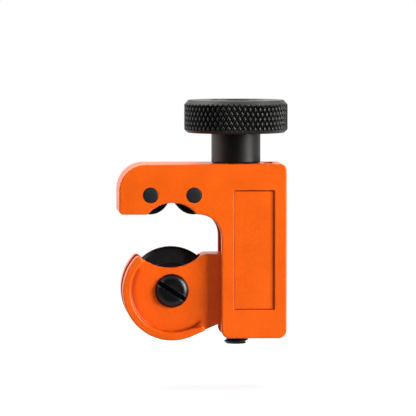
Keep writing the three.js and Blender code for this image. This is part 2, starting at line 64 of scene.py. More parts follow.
Profile = Sequence[tuple[float, float]]
Run = tuple[np.ndarray, np.ndarray]
Bodies = Sequence[bpy.types.Object]


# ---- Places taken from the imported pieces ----


@dataclass(frozen=True)
class Box:
    """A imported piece's box in millimetres."""

    low: np.ndarray
    high: np.ndarray

    @classmethod
    def of(cls, node: str) -> "Box":
        """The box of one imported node."""
        low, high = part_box(node)
        return cls(np.array(low) / MM, np.array(high) / MM)

    @property
    def centre(self) -> np.ndarray:
        """Middle of the box."""
        return (self.low + self.high) / 2

    @property
    def size(self) -> np.ndarray:
        """Length of each side."""
        return self.high - self.low


def packed(node: str) -> Box:
    """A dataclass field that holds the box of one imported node."""
    return field(default_factory=lambda: Box.of(node))


def floats(values: Sequence[float]) -> tuple[float, ...]:
    """Numbers of an array as plain ones."""
    return tuple(float(value) for value in values)


# ---- Outlines in x and z ----


def arc(centre: Sequence[float], radius: float, start: float, end: float) -> np.ndarray:
    """Points on a circle: centre + radius * (cos t, sin t) for t from start to end.

    Args:
        centre: the circle's centre.
        radius: its radius.
        start: first angle, in radians.
        end: last angle; the arc runs clockwise where it is the smaller.

    Returns:
        An array of points, at most one ARC_STEP apart, both ends included.
    """
    count = max(3, math.ceil(abs(end - start) / ARC_STEP) + 1)
    angle = np.linspace(start, end, count)[:, None]
    return np.asarray(centre, float) + radius * np.hstack([np.cos(angle), np.sin(angle)])


def bearing(centre: Sequence[float], place: Sequence[float]) -> float:
    """Angle of the line from centre to place."""
    return math.atan2(place[1] - centre[1], place[0] - centre[0])


def crossing(centre_a: np.ndarray, radius_a: float, centre_b: np.ndarray, radius_b: float) -> np.ndarray:
    """Where two circles cross, on the left of the line from the first centre to the second.

    The crossing lies (d^2 + ra^2 - rb^2) / 2d along that line, and the rest of ra to its left.

    Args:
        centre_a: first centre.
        radius_a: first radius.
        centre_b: second centre.
        radius_b: second radius.

    Returns:
        The crossing point.
    """
    along = centre_b - centre_a
    apart = float(np.linalg.norm(along))
    along = along / apart
    reach = (apart**2 + radius_a**2 - radius_b**2) / (2 * apart)
    aside = math.sqrt(radius_a**2 - reach**2)
    return centre_a + along * reach + np.array([-along[1], along[0]]) * aside


def unit(rows: np.ndarray) -> np.ndarray:
    """Rows scaled to length one."""
    return rows / np.linalg.norm(rows, axis=-1, keepdims=True)


@dataclass(frozen=True)
class Outline:
    """A closed outline, anticlockwise as seen from the front."""

    points: np.ndarray

    def __post_init__(self) -> None:
        """Drops points that repeat the one before."""
        apart = np.linalg.norm(self.points - np.roll(self.points, 1, 0), axis=1)
        object.__setattr__(self, "points", self.points[apart > WELD])

    @classmethod
    def rounded(cls, corners: Sequence[tuple[float, float, float]]) -> "Outline":
        """A polygon of (x, z, radius) corners, each replaced by the arc that touches both of its sides.

        The arc's centre lies radius / sin(half angle) from the corner, on the line that halves it.

        Args:
            corners: anticlockwise corners.

        Returns:
            The rounded outline.
        """
        places = np.array([corner[:2] for corner in corners], float)
        into = unit(np.roll(places, 1, 0) - places)
        out = unit(np.roll(places, -1, 0) - places)
        half = np.arccos(np.sum(into * out, 1)) / 2
        turn = np.sign(out[:, 0] * into[:, 1] - out[:, 1] * into[:, 0])
        radius = np.array([corner[2] for corner in corners])
        centre = places + unit(into + out) * (radius / np.sin(half))[:, None]
        start = places + into * (radius / np.tan(half))[:, None]
        arcs = []
        for at, size, first, side, angle in zip(centre, radius, start, turn, half):
            begin = bearing(at, first)
            arcs.append(arc(at, size, begin, begin + side * (math.pi - 2 * angle)))
        return cls(np.vstack(arcs))

    def inset(self, distance: float) -> np.ndarray:
        """Points moved inwards by a distance, along the line that halves each corner.

        With n1 and n2 the inward normals before and after a point, it moves (n1 + n2) / (1 + n1.n2) times
        the distance, so that both sides move by the distance itself.

        Args:
            distance: how far the sides move.

        Returns:
            The moved points.
        """
        before = unit(self.points - np.roll(self.points, 1, 0))
        after = unit(np.roll(self.points, -1, 0) - self.points)
        normal_in = np.column_stack([-before[:, 1], before[:, 0]])
        normal_out = np.column_stack([-after[:, 1], after[:, 0]])
        share = 1 + np.sum(normal_in * normal_out, 1, keepdims=True)
        return self.points + distance * (normal_in + normal_out) / share

    def softened(self, place: np.ndarray, radius: float) -> "Outline":
        """The outline with its corner nearest to a place replaced by an arc that touches both sides.

        Args:
            place: where the corner is.
            radius: the arc's radius.

        Returns:
            The softened outline.
        """
        at = int(np.argmin(np.linalg.norm(self.points - place, axis=1)))
        before, corner, after = (self.points[(at + step) % len(self.points)] for step in (-1, 0, 1))
        into, out = unit(before - corner), unit(after - corner)
        half = math.acos(float(into @ out)) / 2
        centre = corner + unit(into + out) * radius / math.sin(half)
        side = 1.0 if out[0] * into[1] - out[1] * into[0] > 0 else -1.0
        begin = bearing(centre, corner + into * radius / math.tan(half))
        bend = arc(centre, radius, begin, begin + side * (math.pi - 2 * half))
        return Outline(np.vstack([self.points[:at], bend, self.points[at + 1 :]]))

    def with_notch(self, notch: np.ndarray, x: float) -> "Outline":
        """The outline with a run of points put in on its first side, before the first point right of x."""
        first_right = int(np.argmax(self.points[:, 0] > x))
        return Outline(np.vstack([self.points[:first_right], notch, self.points[first_right:]]))


def quarter_round(radius: float, face: float, towards: float, steps: int = 5) -> list[tuple[float, float]]:
    """Steps of (inset, y) for a rounded edge: inset r(1 - sin t), depth r(1 - cos t), t up to 90 degrees.

    Args:
        radius: radius of the rounding.
        face: y of the flat face.
        towards: +1 where the body lies towards +y of that face, -1 where it lies towards -y.
        steps: number of flats.

    Returns:
        Steps from the flat face to the side wall.
    """
    angle = np.linspace(0, math.pi / 2, steps + 1)
    insets = radius * (1 - np.sin(angle))
    depths = face + towards * radius * (1 - np.cos(angle))
    return list(zip(insets.tolist(), depths.tolist()))


def rounded_faces(radius: float, front: float, back: float) -> list[tuple[float, float]]:
    """Steps of a plate with rounded edges, from its front face to its back face."""
    return quarter_round(radius, front, 1) + quarter_round(radius, back, -1)[::-1]


# ---- Meshes ----


class Axis(Enum):
    """Direction of a turned piece's axis, with the two directions across it."""

    UP = ((0, 0, 1), (1, 0, 0), (0, 1, 0))
    BACK = ((0, 1, 0), (0, 0, 1), (1, 0, 0))

    def place(self, centre: np.ndarray, heights: np.ndarray, radii: np.ndarray) -> np.ndarray:
        """Points of a turned surface: centre + h * axis + r * (cos t * across + sin t * other).

        Args:
            centre: a point on the axis, from which heights count.
            heights: one height per row.
            radii: one radius per row and column.

        Returns:
            An array of rows by columns by three.
        """
        along, across, other = (np.array(direction, float) for direction in self.value)
        angle = np.arange(radii.shape[1]) * TURN / radii.shape[1]
        ring = np.cos(angle)[:, None] * across + np.sin(angle)[:, None] * other
        return centre + heights[:, None, None] * along + radii[:, :, None] * ring


def grid_faces(rows: int, columns: int, loop: bool) -> np.ndarray:
    """Quads between neighbouring rows and columns, the last column joined to the first.

    Args:
        rows: number of rows.
        columns: number of columns.
        loop: whether the last row is joined to the first as well.

    Returns:
        Four vertex numbers for each quad.
    """
    row = np.arange(rows if loop else rows - 1)[:, None]
    column = np.arange(columns)[None, :]
    after, beside = (row + 1) % rows, (column + 1) % columns
    corners = [(row, column), (row, beside), (after, beside), (after, column)]
    return np.stack([(r * columns + c) for r, c in corners], -1).reshape(-1, 4)


def solid(name: str, places: np.ndarray, faces: Sequence[Sequence[int]]) -> bpy.types.Object:
    """A mesh object with its doubles merged and its faces turned outwards.

    Args:
        name: the object's name.
        places: points in millimetres.
        faces: numbers of each face's points.

    Returns:
        The object, linked to the scene.
    """
    mesh = bpy.data.meshes.new(name)
    mesh.from_pydata(np.asarray(places, float) * MM, [], [list(map(int, face)) for face in faces])
    work = bmesh.new()
    work.from_mesh(mesh)
    bmesh.ops.remove_doubles(work, verts=work.verts, dist=WELD * MM)
    bmesh.ops.dissolve_degenerate(work, edges=work.edges, dist=WELD * MM)
    bmesh.ops.recalc_face_normals(work, faces=work.faces)
    work.to_mesh(mesh)
    work.free()
    piece = bpy.data.objects.new(name, mesh)
    bpy.context.scene.collection.objects.link(piece)
    return piece


def stacked(name: str, outline: Outline, steps: Profile) -> bpy.types.Object:
    """A plate whose edge has a profile: each step insets the outline by its first value, at its second's y.

    Args:
        name: the object's name.
        outline: the plate's outline.
        steps: (inset, y) from the front face to the back face.

    Returns:
        The closed plate.
    """
    count = len(outline.points)
    rings = [np.insert(outline.inset(inset), 1, y, axis=1) for inset, y in steps]
    sides = grid_faces(len(steps), count, loop=False)[:, ::-1]
    caps = [list(range(count)), list(range(len(steps) * count - 1, (len(steps) - 1) * count - 1, -1))]
    return solid(name, np.vstack(rings), [*sides.tolist(), *caps])


def even(profile: Profile, columns: int) -> Run:
    """A run that is round at every height, from a profile of (radius, height)."""
    rows = np.array(profile, float)
    return np.repeat(rows[:, :1], columns, axis=1), rows[:, 1]


def wound(
    name: str, axis: Axis, centre: Sequence[float], runs: Sequence[Run], loop: bool = False
) -> bpy.types.Object:
    """A solid round an axis, made of runs of rows one after another.

    Args:
        name: the object's name.
        axis: direction of the axis.
        centre: a point on it, from which heights count.
        runs: radii over height and angle, each with the heights of its rows, from pole to pole.
        loop: whether the last row is joined to the first instead.

    Returns:
        The closed solid.
    """
    radii = np.vstack([run[0] for run in runs])
    heights = np.concatenate([run[1] for run in runs])
    places = axis.place(np.asarray(centre, float), heights, radii)
    return solid(name, places.reshape(-1, 3), grid_faces(*radii.shape, loop))


def turned(
    name: str, axis: Axis, centre: Sequence[float], profile: Profile, loop: bool = False, columns: int = 128
) -> bpy.types.Object:
    """A turned solid: the profile of (radius, height) carried once round the axis.

    Args:
        name: the object's name.
        axis: direction of the axis.
        centre: a point on it, from which heights count.
        profile: from pole to pole, or a closed ring of points.
        loop: whether the profile is such a ring.
        columns: points round the axis.

    Returns:
        The closed solid.
    """
    return wound(name, axis, centre, [even(profile, columns)], loop)


def drill(
    name: str, axis: Axis, at: Sequence[float], radius: float, low: float, high: float, columns: int = 96
) -> bpy.types.Object:
    """A cutter for a round hole, between two heights on an axis."""
    return turned(name, axis, at, [(0, low), (radius, low), (radius, high), (0, high)], columns=columns)


def eased(corners: Sequence[tuple[float, float, float]], loop: bool = False) -> list[tuple[float, float]]:
    """A turned profile whose corners are eased by a curve in four flats.

    The curve is corner + ease * ((1 - t)^2 * into + t^2 * onward), with into and onward the directions from
    the corner to its neighbours, and t from 0 to 1.

    Args:
        corners: (radius from the axis, height, easing) along the profile.
        loop: whether the last corner is joined to the first.

    Returns:
        Points of (radius, height).
    """
    out: list[tuple[float, float]] = []
    count = len(corners)
    for i, (x, y, ease) in enumerate(corners):
        if ease == 0 or (not loop and i in (0, count - 1)):
            out.append((x, y))
            continue
        corner = np.array([x, y])
        into = unit(np.array(corners[i - 1][:2]) - corner)
        onward = unit(np.array(corners[(i + 1) % count][:2]) - corner)
        for t in np.linspace(0, 1, 5):
            bend = corner + ease * ((1 - t) ** 2 * into + t**2 * onward)
            out.append((float(bend[0]), float(bend[1])))
    return out


def block(name: str, low: Sequence[float], high: Sequence[float], turn: float = 0.0) -> bpy.types.Object:
    """A cutter with six faces.

    Args:
        name: the object's name.
        low: its corner with the least x, y and z.
        high: the corner across from it.
        turn: angle by which it is then turned about its middle, in the plane of x and z.

    Returns:
        The cutter.
    """
    low, high = np.array(low, float), np.array(high, float)
    pick = np.array([[i >> 2 & 1, i >> 1 & 1, i & 1] for i in range(8)])
    middle = (low + high) / 2
    offset = np.where(pick == 1, high, low) - middle
    cos, sin = math.cos(turn), math.sin(turn)
    spun = np.stack(
        [offset[:, 0] * cos + offset[:, 2] * sin, offset[:, 1], offset[:, 2] * cos - offset[:, 0] * sin], -1
    )
    faces = [(0, 1, 3, 2), (4, 6, 7, 5), (0, 4, 5, 1), (2, 3, 7, 6), (0, 2, 6, 4), (1, 5, 7, 3)]
    return solid(name, middle + spun, faces)


def settle(piece: bpy.types.Object) -> None:
    """Puts a piece's modifiers into its mesh."""
    graph = bpy.context.evaluated_depsgraph_get()
    graph.update()
    mesh = bpy.data.meshes.new_from_object(piece.evaluated_get(graph))
    piece.modifiers.clear()
    piece.data = mesh


def carve(piece: bpy.types.Object, cutters: Bodies) -> None:
    """Takes solids out of a piece.

    Args:
        piece: the piece, whose mesh is replaced.
        cutters: what is taken out, one after another; their meshes are removed.
    """
    for cutter in cutters:
        step = piece.modifiers.new("carve", "BOOLEAN")
        step.operation, step.solver, step.object = "DIFFERENCE", "EXACT", cutter
    settle(piece)
    for cutter in cutters:
        bpy.data.meshes.remove(cutter.data)


def read(items: bpy.types.bpy_prop_collection, name: str, width: int, kind: type) -> np.ndarray:
    """Reads one property of every item of a mesh.

    Args:
        items: the mesh's vertices, loops or faces.
        name: the property.
        width: how many numbers it has.
        kind: the numbers' type.

    Returns:
        One row for each item, or one number where width is 1.
    """
    values = np.empty(len(items) * width, kind)
    items.foreach_get(name, values)
    return values.reshape(-1, width) if width > 1 else values


@dataclass(frozen=True)
class Edges:
    """Every edge of a mesh that two faces share, as arrays.

    An edge is convex where the direction from it into its second face, n2 x e2, points behind the first.
    """

    middle: np.ndarray
    angle: np.ndarray
    convex: np.ndarray
    number: np.ndarray

    @classmethod
    def of(cls, mesh: bpy.types.Mesh) -> "Edges":
        """Reads the edges of a mesh.

        Args:
            mesh: the mesh.

        Returns:
            Its edges, each where the first of its two faces runs along it.
        """
        normals = read(mesh.polygons, "normal", 3, np.float32)
        start = read(mesh.polygons, "loop_start", 1, np.int32)
        total = read(mesh.polygons, "loop_total", 1, np.int32)
        places = read(mesh.vertices, "co", 3, np.float32) / MM
        vertex = read(mesh.loops, "vertex_index", 1, np.int32)
        edge = read(mesh.loops, "edge_index", 1, np.int32)
        face = np.repeat(np.arange(len(total)), total)
        here = np.arange(len(vertex))
        after = np.where(here + 1 < (start + total)[face], here + 1, start[face])
        order = np.argsort(edge, kind="stable")
        pairs = order[:-1][edge[order][:-1] == edge[order][1:]]
        mates = order[1:][edge[order][:-1] == edge[order][1:]]
        begin, end = places[vertex[pairs]], places[vertex[after[pairs]]]
        first, second = normals[face[pairs]], normals[face[mates]]
        along = places[vertex[after[mates]]] - places[vertex[mates]]
        inwards = np.cross(second, along)
        angle = np.arccos(np.clip(np.sum(first * second, 1), -1, 1))
        convex = np.sum(inwards * first, 1) < 0
        return cls((begin + end) / 2, angle, convex, edge[pairs])


def round_edges(piece: bpy.types.Object, width: Callable[[Edges], np.ndarray], least: float = 40.0) -> None:
    """Rounds a piece's sharp outside edges, and gives its flats their own normals.

    Args:
        piece: the piece, whose mesh is replaced.
        width: gives the width of the rounding of each edge, in millimetres, 0 to leave it.
        least: angle in degrees under which an edge stays as it is.
    """
    edges = Edges.of(piece.data)
    wanted = width(edges) * edges.convex * (edges.angle > math.radians(least))
    widest = float(wanted.max())
    weights = np.zeros(len(piece.data.edges), np.float32)
    weights[edges.number] = wanted / widest
    layer = piece.data.attributes.new("bevel_weight_edge", "FLOAT", "EDGE")
    layer.data.foreach_set("value", weights)
    bevel = piece.modifiers.new("rounding", "BEVEL")
    bevel.limit_method, bevel.width, bevel.segments = "WEIGHT", widest * MM, 3
    bevel.miter_outer = "MITER_SHARP"
    settle(piece)
    smooth(piece)


def smooth(piece: bpy.types.Object, sharp: float = 38.0) -> None:
    """Shades a piece smoothly, with large flats keeping their own normals.

    Args:
        piece: the piece.
        sharp: angle in degrees past which an edge is sharp.
    """
    piece.data.shade_smooth()
    piece.data.set_sharp_from_angle(angle=math.radians(sharp))
    weighting = piece.modifiers.new("flats", "WEIGHTED_NORMAL")
    weighting.keep_sharp, weighting.weight = True, 100
    settle(piece)


# ---- Threads ----


@dataclass(frozen=True)
class Thread:
    """A right-hand thread with 60 degree flanks and flats of equal width at root and crest."""

    crest: float
    depth: float
    pitch: float
    origin: float
    softness: float = 0.35

    def radius(self, heights: np.ndarray, columns: int, gap: float = 0.0) -> np.ndarray:
        """Radius over a grid of heights and angles.

        With w = (h - origin) / pitch - angle / turn, taken to one pitch, d its distance from the middle of
        the crest, and e and f the shares of a pitch that a flat and a flank take, the climb from root to
        crest is c = (e / 2 + f - d) / f, kept from 0 to 1. A share softness of it is c^2 (3 - 2c) instead.

        Args:
            heights: one height per row.
            columns: number of angles in a turn.
            gap: how far the whole surface is moved outwards.

        Returns:
            Radii, rows by columns.
        """
        turned_share = np.arange(columns)[None, :] / columns
        wave = ((heights[:, None] - self.origin) / self.pitch - turned_share) % 1.0
        flank = self.depth * math.tan(math.pi / 6) / self.pitch
        flat = 0.5 - flank
        crest_middle = flat + flank + flat / 2
        from_crest = np.abs((wave - crest_middle + 0.5) % 1.0 - 0.5)
        climb = np.clip((flat / 2 + flank - from_crest) / flank, 0, 1)
        soft = climb * climb * (3 - 2 * climb) * self.softness + climb * (1 - self.softness)
        return self.crest - self.depth + gap + self.depth * soft


# ---- Shader building ----


class Value:
    """One output of a node tree. Arithmetic on it adds Math nodes."""

    def __init__(self, nodes: "Nodes", socket: bpy.types.NodeSocket) -> None:
        """Wraps a socket of a tree."""
        self.nodes = nodes
        self.socket = socket

    def _math(self, operation: str, *others: "Value | float", clamp: bool = False) -> "Value":
        """A Math node on this value and others."""
        settings = {"operation": operation, "use_clamp": clamp}
        return self.nodes.add("ShaderNodeMath", settings, {0: self, **dict(enumerate(others, 1))})

    def __add__(self, other: "Value | float") -> "Value":
        """Sum."""
        return self._math("ADD", other)

    __radd__ = __add__

    def __sub__(self, other: "Value | float") -> "Value":
        """Difference."""
        return self._math("SUBTRACT", other)

    def __rsub__(self, other: float) -> "Value":
        """A number less this value."""
        return self.nodes.add("ShaderNodeMath", {"operation": "SUBTRACT"}, {0: other, 1: self})

    def __mul__(self, other: "Value | float") -> "Value":
        """Product."""
        return self._math("MULTIPLY", other)

    __rmul__ = __mul__

    def __truediv__(self, other: "Value | float") -> "Value":
        """Quotient."""
        return self._math("DIVIDE", other)

    def __pow__(self, other: float) -> "Value":
        """Power."""
        return self._math("POWER", other)

    def __abs__(self) -> "Value":
        """Size without sign."""
        return self._math("ABSOLUTE")

    def larger(self, other: "Value | float") -> "Value":
        """The larger of two values."""
        return self._math("MAXIMUM", other)

    def smaller(self, other: "Value | float") -> "Value":
        """The smaller of two values."""
        return self._math("MINIMUM", other)

    def clamped(self) -> "Value":
        """The value kept from 0 to 1."""
        return self._math("ADD", 0.0, clamp=True)

    def band(self, low: float, high: float) -> "Value":
        """0 at low and 1 at high, with a smooth climb between."""
        inputs = {0: self, 1: low, 2: high}
        return self.nodes.add("ShaderNodeMapRange", {"interpolation_type": "SMOOTHSTEP"}, inputs)


Link = Value | float | tuple


class Nodes:
    """Adds nodes to the tree of a material or of the world."""

    def __init__(self, tree: bpy.types.NodeTree) -> None:
        """Empties the tree."""
        self.tree = tree
        tree.nodes.clear()

    def add(
        self, kind: str, settings: dict | None = None, inputs: dict | None = None, out: int | str = 0
    ) -> Value:
        """Adds one node.

        Args:
            kind: the node's type.
            settings: its properties, set first.
            inputs: values or links, by the name or number of the input.
            out: which output is wanted.

        Returns:
            That output.
        """
        node = self.tree.nodes.new(kind)
        for name, setting in (settings or {}).items():
            setattr(node, name, setting)
        for name, given in (inputs or {}).items():
            socket = node.inputs[name]
            if isinstance(given, Value):
                self.tree.links.new(given.socket, socket)
            else:
                socket.default_value = given
        return Value(self, node.outputs[out]) if len(node.outputs) else Value(self, None)

    def place(self, centre: Sequence[float] = (0, 0, 0)) -> Value:
        """Object coordinates in millimetres from a centre."""
        raw = self.add("ShaderNodeTexCoord", out="Object")
        scale = (1 / MM,) * 3
        shift = tuple(-value for value in centre)
        return self.add("ShaderNodeMapping", {}, {"Vector": raw, "Location": shift, "Scale": scale})

    def noise(self, place: Value, size: float, detail: float = 2.0, rough: float = 0.5) -> Value:
        """Noise from 0 to 1 whose lumps are about size millimetres wide."""
        inputs = {"Vector": place, "Scale": 1 / size, "Detail": detail, "Roughness": rough}
        return self.add("ShaderNodeTexNoise", {}, inputs)

    def mix(self, share: Link, first: Link, second: Link) -> Value:
        """A colour between two others."""
        settings = {"data_type": "RGBA", "clamp_factor": True}
        return self.add("ShaderNodeMix", settings, {0: share, 6: first, 7: second}, out=2)

    def bump(self, height: Value, depth: float, after: Value | None = None) -> Value:
        """A normal from a height.

        Args:
            height: 0 to 1.
            depth: how many millimetres the 1 stands for.
            after: a normal on which this one builds.

        Returns:
            The normal.
        """
        inputs = {"Height": height, "Distance": depth * MM, "Strength": 1.0}
        if after is not None:
            inputs["Normal"] = after
        return self.add("ShaderNodeBump", {}, inputs)

    def split(self, place: Value) -> tuple[Value, Value, Value]:
        """The three coordinates of a place."""
        first = self.add("ShaderNodeSeparateXYZ", {}, {0: place})
        return tuple(Value(self, output) for output in first.socket.node.outputs)

    def towards(self, place: Value, along: Sequence[float]) -> Value:
        """How far a place lies in a direction."""
        inputs = {0: place, 1: along}
        return self.add("ShaderNodeVectorMath", {"operation": "DOT_PRODUCT"}, inputs, out="Value")

    def around(self, place: Value, axis: Axis) -> tuple[Value, Value]:
        """Place round an axis through the origin.

        Args:
            place: a place from that origin.
            axis: the axis.

        Returns:
            The distance from it, and the angle round it in turns.
        """
        x, y, z = self.split(place)
        a, b = (x, y) if axis is Axis.UP else (x, z)
        distance = (a * a + b * b) ** 0.5
        angle = self.add("ShaderNodeMath", {"operation": "ARCTAN2"}, {0: b, 1: a}) / TURN
        return distance, angle


def new_material(name: str, shade: Callable[[Nodes], dict]) -> bpy.types.Material:
    """A material with one Principled shader.

    Args:
        name: the material's name.
        shade: adds the nodes of the finish and returns the shader's inputs.

    Returns:
        The material.
    """
    material = bpy.data.materials.new(name)
    material.use_nodes = True
    nodes = Nodes(material.node_tree)
    shader = nodes.add("ShaderNodeBsdfPrincipled", {}, shade(nodes))
    nodes.add("ShaderNodeOutputMaterial", {}, {"Surface": shader})
    return material


Colour = tuple[float, float, float]


def opaque(colour: Colour, by: float = 1.0) -> tuple[float, float, float, float]:
    """A colour made lighter or darker, with full alpha."""
    return (colour[0] * by, colour[1] * by, colour[2] * by, 1.0)


@dataclass(frozen=True)
class ShadedCorner:
    """Painted shade at the foot of a round wall on both faces of a plate: the paint is darker where the wall
    would shade the floor.
    """

    centre: tuple[float, float, float]
    radius: float
    floor: float
    middle: float
    half_turn: float
    deepest: float
    reach: tuple[float, float] = (0.6, 1.7)
    shade: float = 0.95

    def share(self, nodes: Nodes) -> Value:
        """How much painted shade there is, from nothing away from the corner to shade at the wall.

        It holds from the floor, which lies that far from the middle plane, to a little up the wall, and on
        the arc of half_turn on both sides of the direction middle. Its reach is the first value, and the
        second towards the direction deepest.

        Args:
            nodes: the paint's nodes.

        Returns:
            The share of painted shade.
        """
        place = nodes.place(self.centre)
        distance, _ = nodes.around(place, Axis.BACK)
        aside = abs(nodes.split(place)[1])
        inside, ahead = (
            nodes.towards(place, (math.cos(angle), 0.0, math.sin(angle))) / distance
            for angle in (self.middle, self.deepest)
        )
        reach = self.reach[0] + (self.reach[1] - self.reach[0]) * ahead.band(0.2, 0.95)
        near = ((distance - self.radius + reach) / reach).clamped() ** 1.5
        edge = math.cos(self.half_turn)
        low = aside.band(self.floor - 0.4, self.floor - 0.2)
        low = low * (1 - aside.band(self.floor + 0.3, self.floor + 1.1))
        within = 1 - distance.band(self.radius + 0.25, self.radius + 0.5)
        return near * inside.band(edge - 0.02, edge + 0.1) * low * within * self.shade


@dataclass(frozen=True)
class ShadedRecess:
    """Painted shade at the foot of the walls of a sunken rectangle on both faces of a plate."""

    low: tuple[float, float]
    high: tuple[float, float]
    face: float
    depth: float
    reach: tuple[float, float] = (0.1, 0.42)
    shade: float = 0.85

    def share(self, nodes: Nodes) -> Value:
        """How much painted shade there is: shade at the walls, down to nothing within reach of them, and on
        the face.

        The nearest wall is min(hx - |x|, hz - |z|) away, with x and z counted from the rectangle's middle,
        and hx and hz half its sides.

        Args:
            nodes: the paint's nodes.

        Returns:
            The share of painted shade.
        """
        middle = tuple((a + b) / 2 for a, b in zip(self.low, self.high))
        half = tuple((b - a) / 2 for a, b in zip(self.low, self.high))
        split = nodes.split(nodes.place((middle[0], 0.0, middle[1])))
        beside, aside, above = (abs(value) for value in split)
        away = (half[0] - beside).smaller(half[1] - above)
        below = 1 - aside.band(self.face - 0.2, self.face - 0.1)
        below = below * aside.band(self.face - self.depth - 0.3, self.face - self.depth - 0.15)
        return (1 - away.band(*self.reach)) * away.band(-0.09, 0.0) * below * self.shade


@dataclass(frozen=True)
class PowderPaint:
    """Satin powder paint on a die casting: fine grain, faint orange peel, uneven gloss, and painted shade at
    the foot of a wall where one is given.
    """

    name: str
    colour: Colour
    roughness: float = 0.33
    grain: float = 0.26
    peel: float = 0.9
    # painted shade at the foot of a wall, if any
    corner: ShadedCorner | ShadedRecess | None = None

    def build(self) -> bpy.types.Material:
        """The material."""
        return new_material(self.name, self._shade)

    def _shade(self, nodes: Nodes) -> dict:
        """Grain and peel as bump, with colour and gloss that vary with them, and darker painted shade at a
        wall's foot.
        """
        place = nodes.place()
        grain = nodes.noise(place, self.grain, 3.0, 0.6)
        peel = nodes.noise(place, self.peel, 2.0, 0.5)
        cloud = nodes.noise(place, 7.0, 3.0, 0.55)
        tone = (grain * 0.55 + cloud * 0.45).band(0.25, 0.75)
        colour = nodes.mix(tone, opaque(self.colour, 0.82), opaque(self.colour, 1.1))
        # Painted shade: the colour turns darker and deeper orange near the wall.
        if self.corner is not None:
            deep = (self.colour[0] * 0.3, self.colour[1] * 0.12, 0.0, 1.0)
            colour = nodes.mix(self.corner.share(nodes), colour, deep)
        gloss = self.roughness - 0.08 + 0.10 * grain + 0.06 * cloud
        normal = nodes.bump(grain, 0.03, nodes.bump(peel, 0.016))
        return {"Base Color": colour, "Roughness": gloss, "Normal": normal, "Specular IOR Level": 0.25}


@dataclass(frozen=True)
class GrooveShade:
    """Painted shade in a cut band round the axis: its grooves are painted darker than its crests."""

    depth: float
    crest: float
    low: float
    high: float
    shade: float = 0.8

    def share(self, distance: Value, height: Value) -> Value:
        """How much painted shade there is: 0 on the crests and outside the band, and shade from half the
        depth.

        Args:
            distance: distance from the axis.
            height: height along it.

        Returns:
            The share of painted shade.
        """
        deep = 1 - distance.band(self.crest - 0.6 * self.depth, self.crest - 0.1 * self.depth)
        across = height.band(self.low, self.low + 0.1) * (1 - height.band(self.high - 0.1, self.high))
        return deep * across * distance.band(self.crest - 1.5, self.crest - 1.4) * self.shade


@dataclass(frozen=True)
class SlotWearAndShade:
    """A driver's slot across the axis: painted shade inside, its edges rubbed bright where the driver bears.
    """

    turn: float
    half: float
    under: float
    edge: float = 0.3

    def shares(self, place: Value, patches: Value) -> tuple[Value, Value]:
        """How much painted shade there is inside the slot, and how bright the wear is beside it, more so
        towards the slot's ends.

        Args:
            place: place from the middle of the wheel.
            patches: noise that breaks up the bright edge.

        Returns:
            The share of painted shade inside, and of bare metal beside it.
        """
        nodes = place.nodes
        x, y, z = nodes.split(place)
        head = 1 - y.band(self.under - 0.1, self.under)
        cos, sin = math.cos(self.turn), math.sin(self.turn)
        across, along = abs(x * sin + z * cos), x * cos - z * sin
        beside = across.band(self.half - 0.06, self.half)
        rubbed = beside * (1 - across.band(self.half, self.half + self.edge))
        ends = abs(along).band(0.2, 2.4)
        return (1 - beside) * head * 0.7, rubbed * ends * head * patches.band(0.4, 0.6)


@dataclass(frozen=True)
class TurnedBlack:
    """Black oxide on turned steel: fine rings round the axis, uneven gloss, a little bare metal, and painted
    shade in knurl grooves or a driver's slot where given.
    """

    name: str
    colour: Colour
    axis: Axis
    centre: tuple[float, float, float]
    roughness: float = 0.4
    ring: float = 0.09
    wear: float = 0.25
    metallic: float = 1.0
    # painted shade in the knurl's grooves, and in a driver's slot with its wear, where given
    grooves: GrooveShade | None = None
    slot: SlotWearAndShade | None = None

    def build(self) -> bpy.types.Material:
        """The material."""
        return new_material(self.name, self._shade)

    def _shade(self, nodes: Nodes) -> dict:
        """Rings as bump from distance and height, lighter specks where the oxide is rubbed, and painted
        shade in grooves or a slot.
        """
        place = nodes.place(self.centre)
        distance, _ = nodes.around(place, self.axis)
        along = nodes.split(place)[2 if self.axis is Axis.UP else 1]
        steps = nodes.add("ShaderNodeCombineXYZ", {}, {0: distance, 1: along, 2: 0.0})
        rings = nodes.noise(steps, self.ring, 2.0, 0.7)
        speck = nodes.noise(place, 0.22, 4.0, 0.7)
        cloud = nodes.noise(place, 3.0, 3.0, 0.6)
        rubbed = (speck * 0.7 + cloud * 0.3).band(0.56, 0.74) * self.wear
        if self.slot is not None:
            # inside is painted shade in the slot; beside is bare metal rubbed by the driver.
            inside, beside = self.slot.shares(place, nodes.noise(place, 0.8, 3.0, 0.6))
            rubbed = rubbed.larger(beside)
        colour = nodes.mix(rubbed, opaque(self.colour), opaque(self.colour, 4.5))
        # Painted shade: the slot's inside turns near black.
        if self.slot is not None:
            colour = nodes.mix(inside, colour, opaque(self.colour, 0.1))
        # Painted shade in the knurl's grooves: near black below the crests.
        if self.grooves is not None:
            colour = nodes.mix(self.grooves.share(distance, along), colour, opaque(self.colour, 0.1))
        gloss = self.roughness - 0.1 + 0.16 * cloud + 0.08 * rings
        normal = nodes.bump(rings, 0.004, nodes.bump(speck, 0.003))
        return {"Base Color": colour, "Roughness": gloss, "Metallic": self.metallic, "Normal": normal}


# ---- Sub-assemblies ----


def dress(piece: bpy.types.Object, material: bpy.types.Material, body: str, node: str) -> None:
    """Gives a piece its material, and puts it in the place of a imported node.

    Args:
        piece: the piece.
        material: its finish.
        body: the body that carries it.
        node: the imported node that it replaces.
    """
    piece.data.materials.clear()
    piece.data.materials.append(material)
    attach(piece, body)
    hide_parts(node)
    LOG.info("%s: %d faces, for %s on %s", piece.name, len(piece.data.polygons), node, body)


